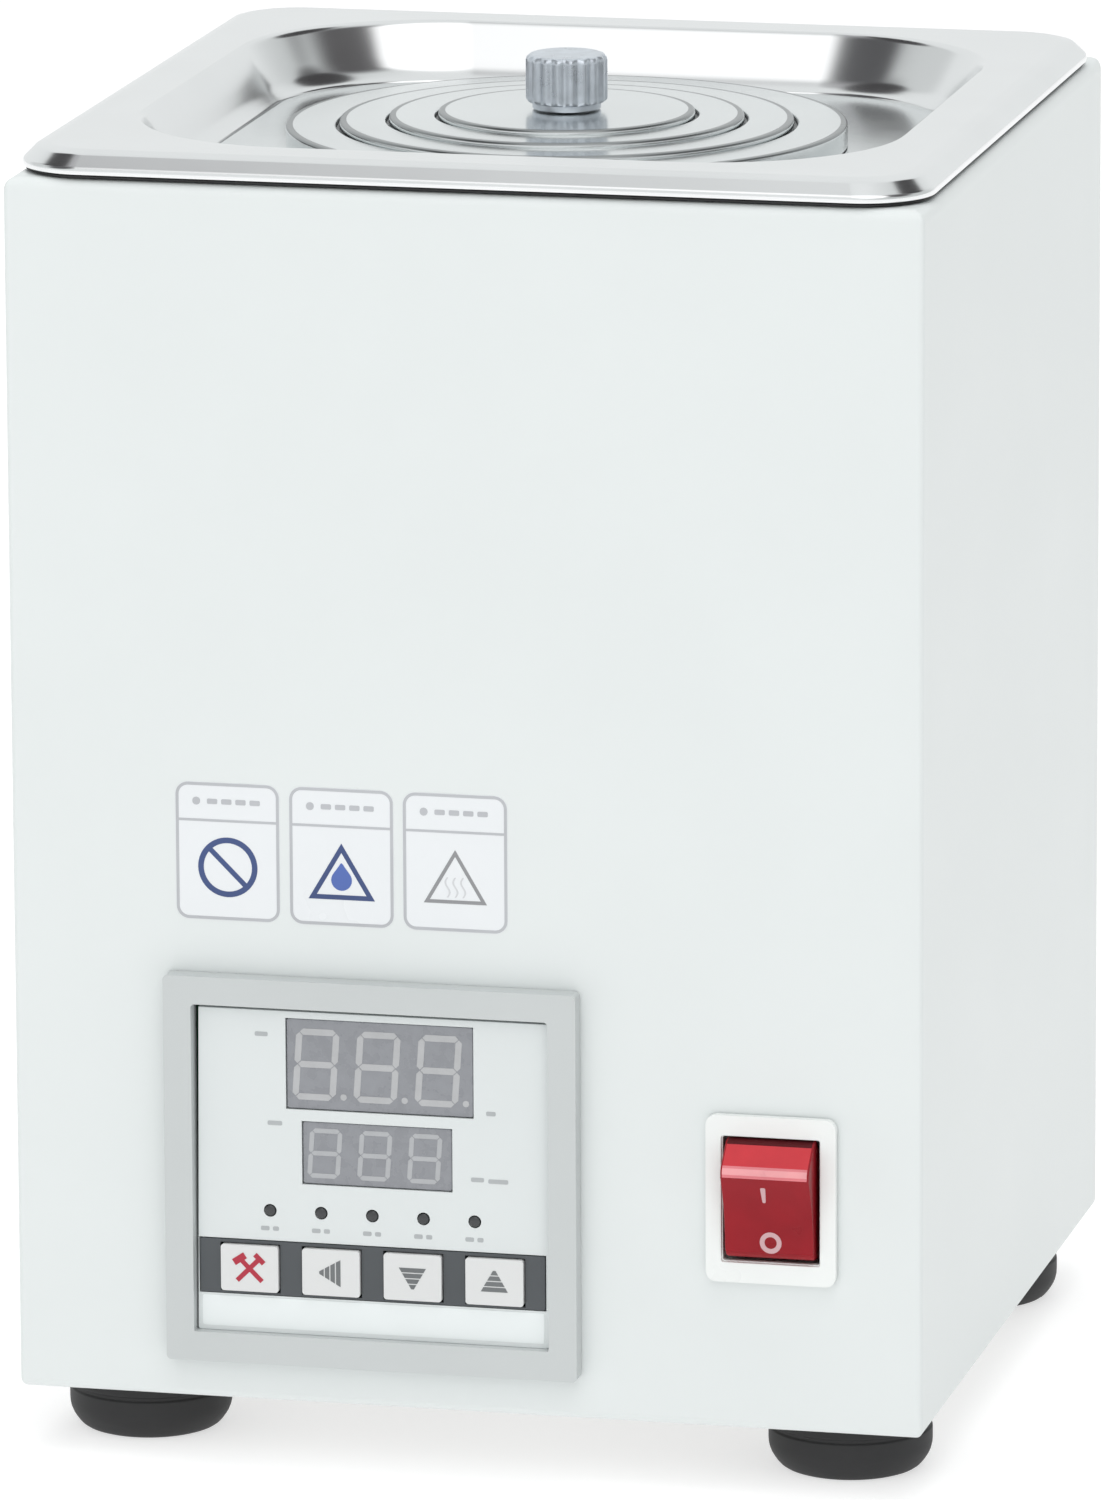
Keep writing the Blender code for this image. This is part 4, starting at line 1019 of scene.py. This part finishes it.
def zone(tree, where, direction, full, gone, value, before):
    """Blends the surroundings towards value round a direction. It is complete
    within the angle full and gone beyond the angle gone, in degrees."""
    dot = tree.nodes.new("ShaderNodeVectorMath")
    dot.operation = "DOT_PRODUCT"
    tree.links.new(where, dot.inputs[0])
    dot.inputs[1].default_value = Vector(direction).normalized()
    spread = tree.nodes.new("ShaderNodeMapRange")
    spread.interpolation_type = "SMOOTHSTEP"
    spread.inputs["From Min"].default_value = math.cos(math.radians(gone))
    spread.inputs["From Max"].default_value = math.cos(math.radians(full))
    tree.links.new(dot.outputs["Value"], spread.inputs["Value"])
    blend = tree.nodes.new("ShaderNodeMix")
    blend.data_type = "RGBA"
    tree.links.new(spread.outputs["Result"], blend.inputs[0])
    tree.links.new(before, blend.inputs[6])
    blend.inputs[7].default_value = (*value, 1.0)
    return blend.outputs[2]


def make_world():
    """Pale surroundings with darker zones to both sides and overhead and, last,
    a soft box over the camera, which give polished metal something to mirror."""
    world = bpy.data.worlds.new("studio")
    bpy.context.scene.world = world
    world.use_nodes = True
    tree = world.node_tree
    background = tree.nodes["Background"]
    where = tree.nodes.new("ShaderNodeTexCoord").outputs["Generated"]
    base = tree.nodes.new("ShaderNodeRGB")
    base.outputs[0].default_value = (0.86, 0.88, 0.88, 1.0)
    colour = base.outputs[0]
    for direction, full, gone, value in (
            ((0.97, -0.15, 0.10), 40, 80, (0.62, 0.64, 0.64)),
            ((-0.42, -0.25, 0.872), 10.2, 13.2, (0.46, 0.46, 0.47)),
            ((-0.62, -0.50, 0.605), 12, 30, (0.10, 0.10, 0.104)),
            ((-0.90, 0.05, 0.43), 14, 26, (0.68, 0.70, 0.70)),
            ((0.72, -0.16, 0.68), 11, 27, (0.11, 0.107, 0.11)),
            ((-0.60, 0.01, 0.80), 13, 17, (0.060, 0.058, 0.060)),
            ((0.546, 0.430, 0.719), 13.5, 17.5, (0.060, 0.058, 0.060)),
            ((0.20, -0.65, 0.733), 23.5, 31, (1.40, 1.40, 1.40))):
        colour = zone(tree, where, direction, full, gone, value, colour)
    tree.links.new(colour, background.inputs["Color"])
    background.inputs["Strength"].default_value = 1.0


def make_lights():
    """Soft lights that polished metal doesn't mirror."""
    for name, place, size, power in (("key", (-1.0, -2.4, 1.9), 1.8, 9.5),
                                     ("overhead", (0.2, -0.2, 3.0), 2.6, 34)):
        data = bpy.data.lights.new(name, "AREA")
        data.shape = "SQUARE"
        data.size = size
        data.energy = power
        light = bpy.data.objects.new(name, data)
        bpy.context.scene.collection.objects.link(light)
        light.location = place
        aim = Vector((0, 0, 0.15)) - Vector(place)
        light.rotation_euler = aim.to_track_quat("-Z", "Y").to_euler()
        light.visible_glossy = False


# ---------------- assembly
LOOK = make_materials()
FRONT_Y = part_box("cabinet_shell")[0][1]
LID_RIM = 0.0016
LID_RADII = {"ring_outer": 0.0645, "ring_middle": 0.0522, "ring_inner": 0.0408,
             "centre_lid": 0.0295}
BUTTONS = ("set_button", "left_button", "down_button", "up_button")

make_camera()
make_cabinet()
make_gasket()
make_feet()
make_tank()
make_cover_plate()
make_lids()
make_knob()
make_bezel()
make_face()
make_displays()
make_legends()
make_lamps()
make_strip()
make_buttons()
make_switch()
make_rocker()
make_stickers()
make_screws()
finish_cad_nodes()
make_floor()
make_world()
make_lights()
bpy.context.scene.view_settings.view_transform = "Standard"
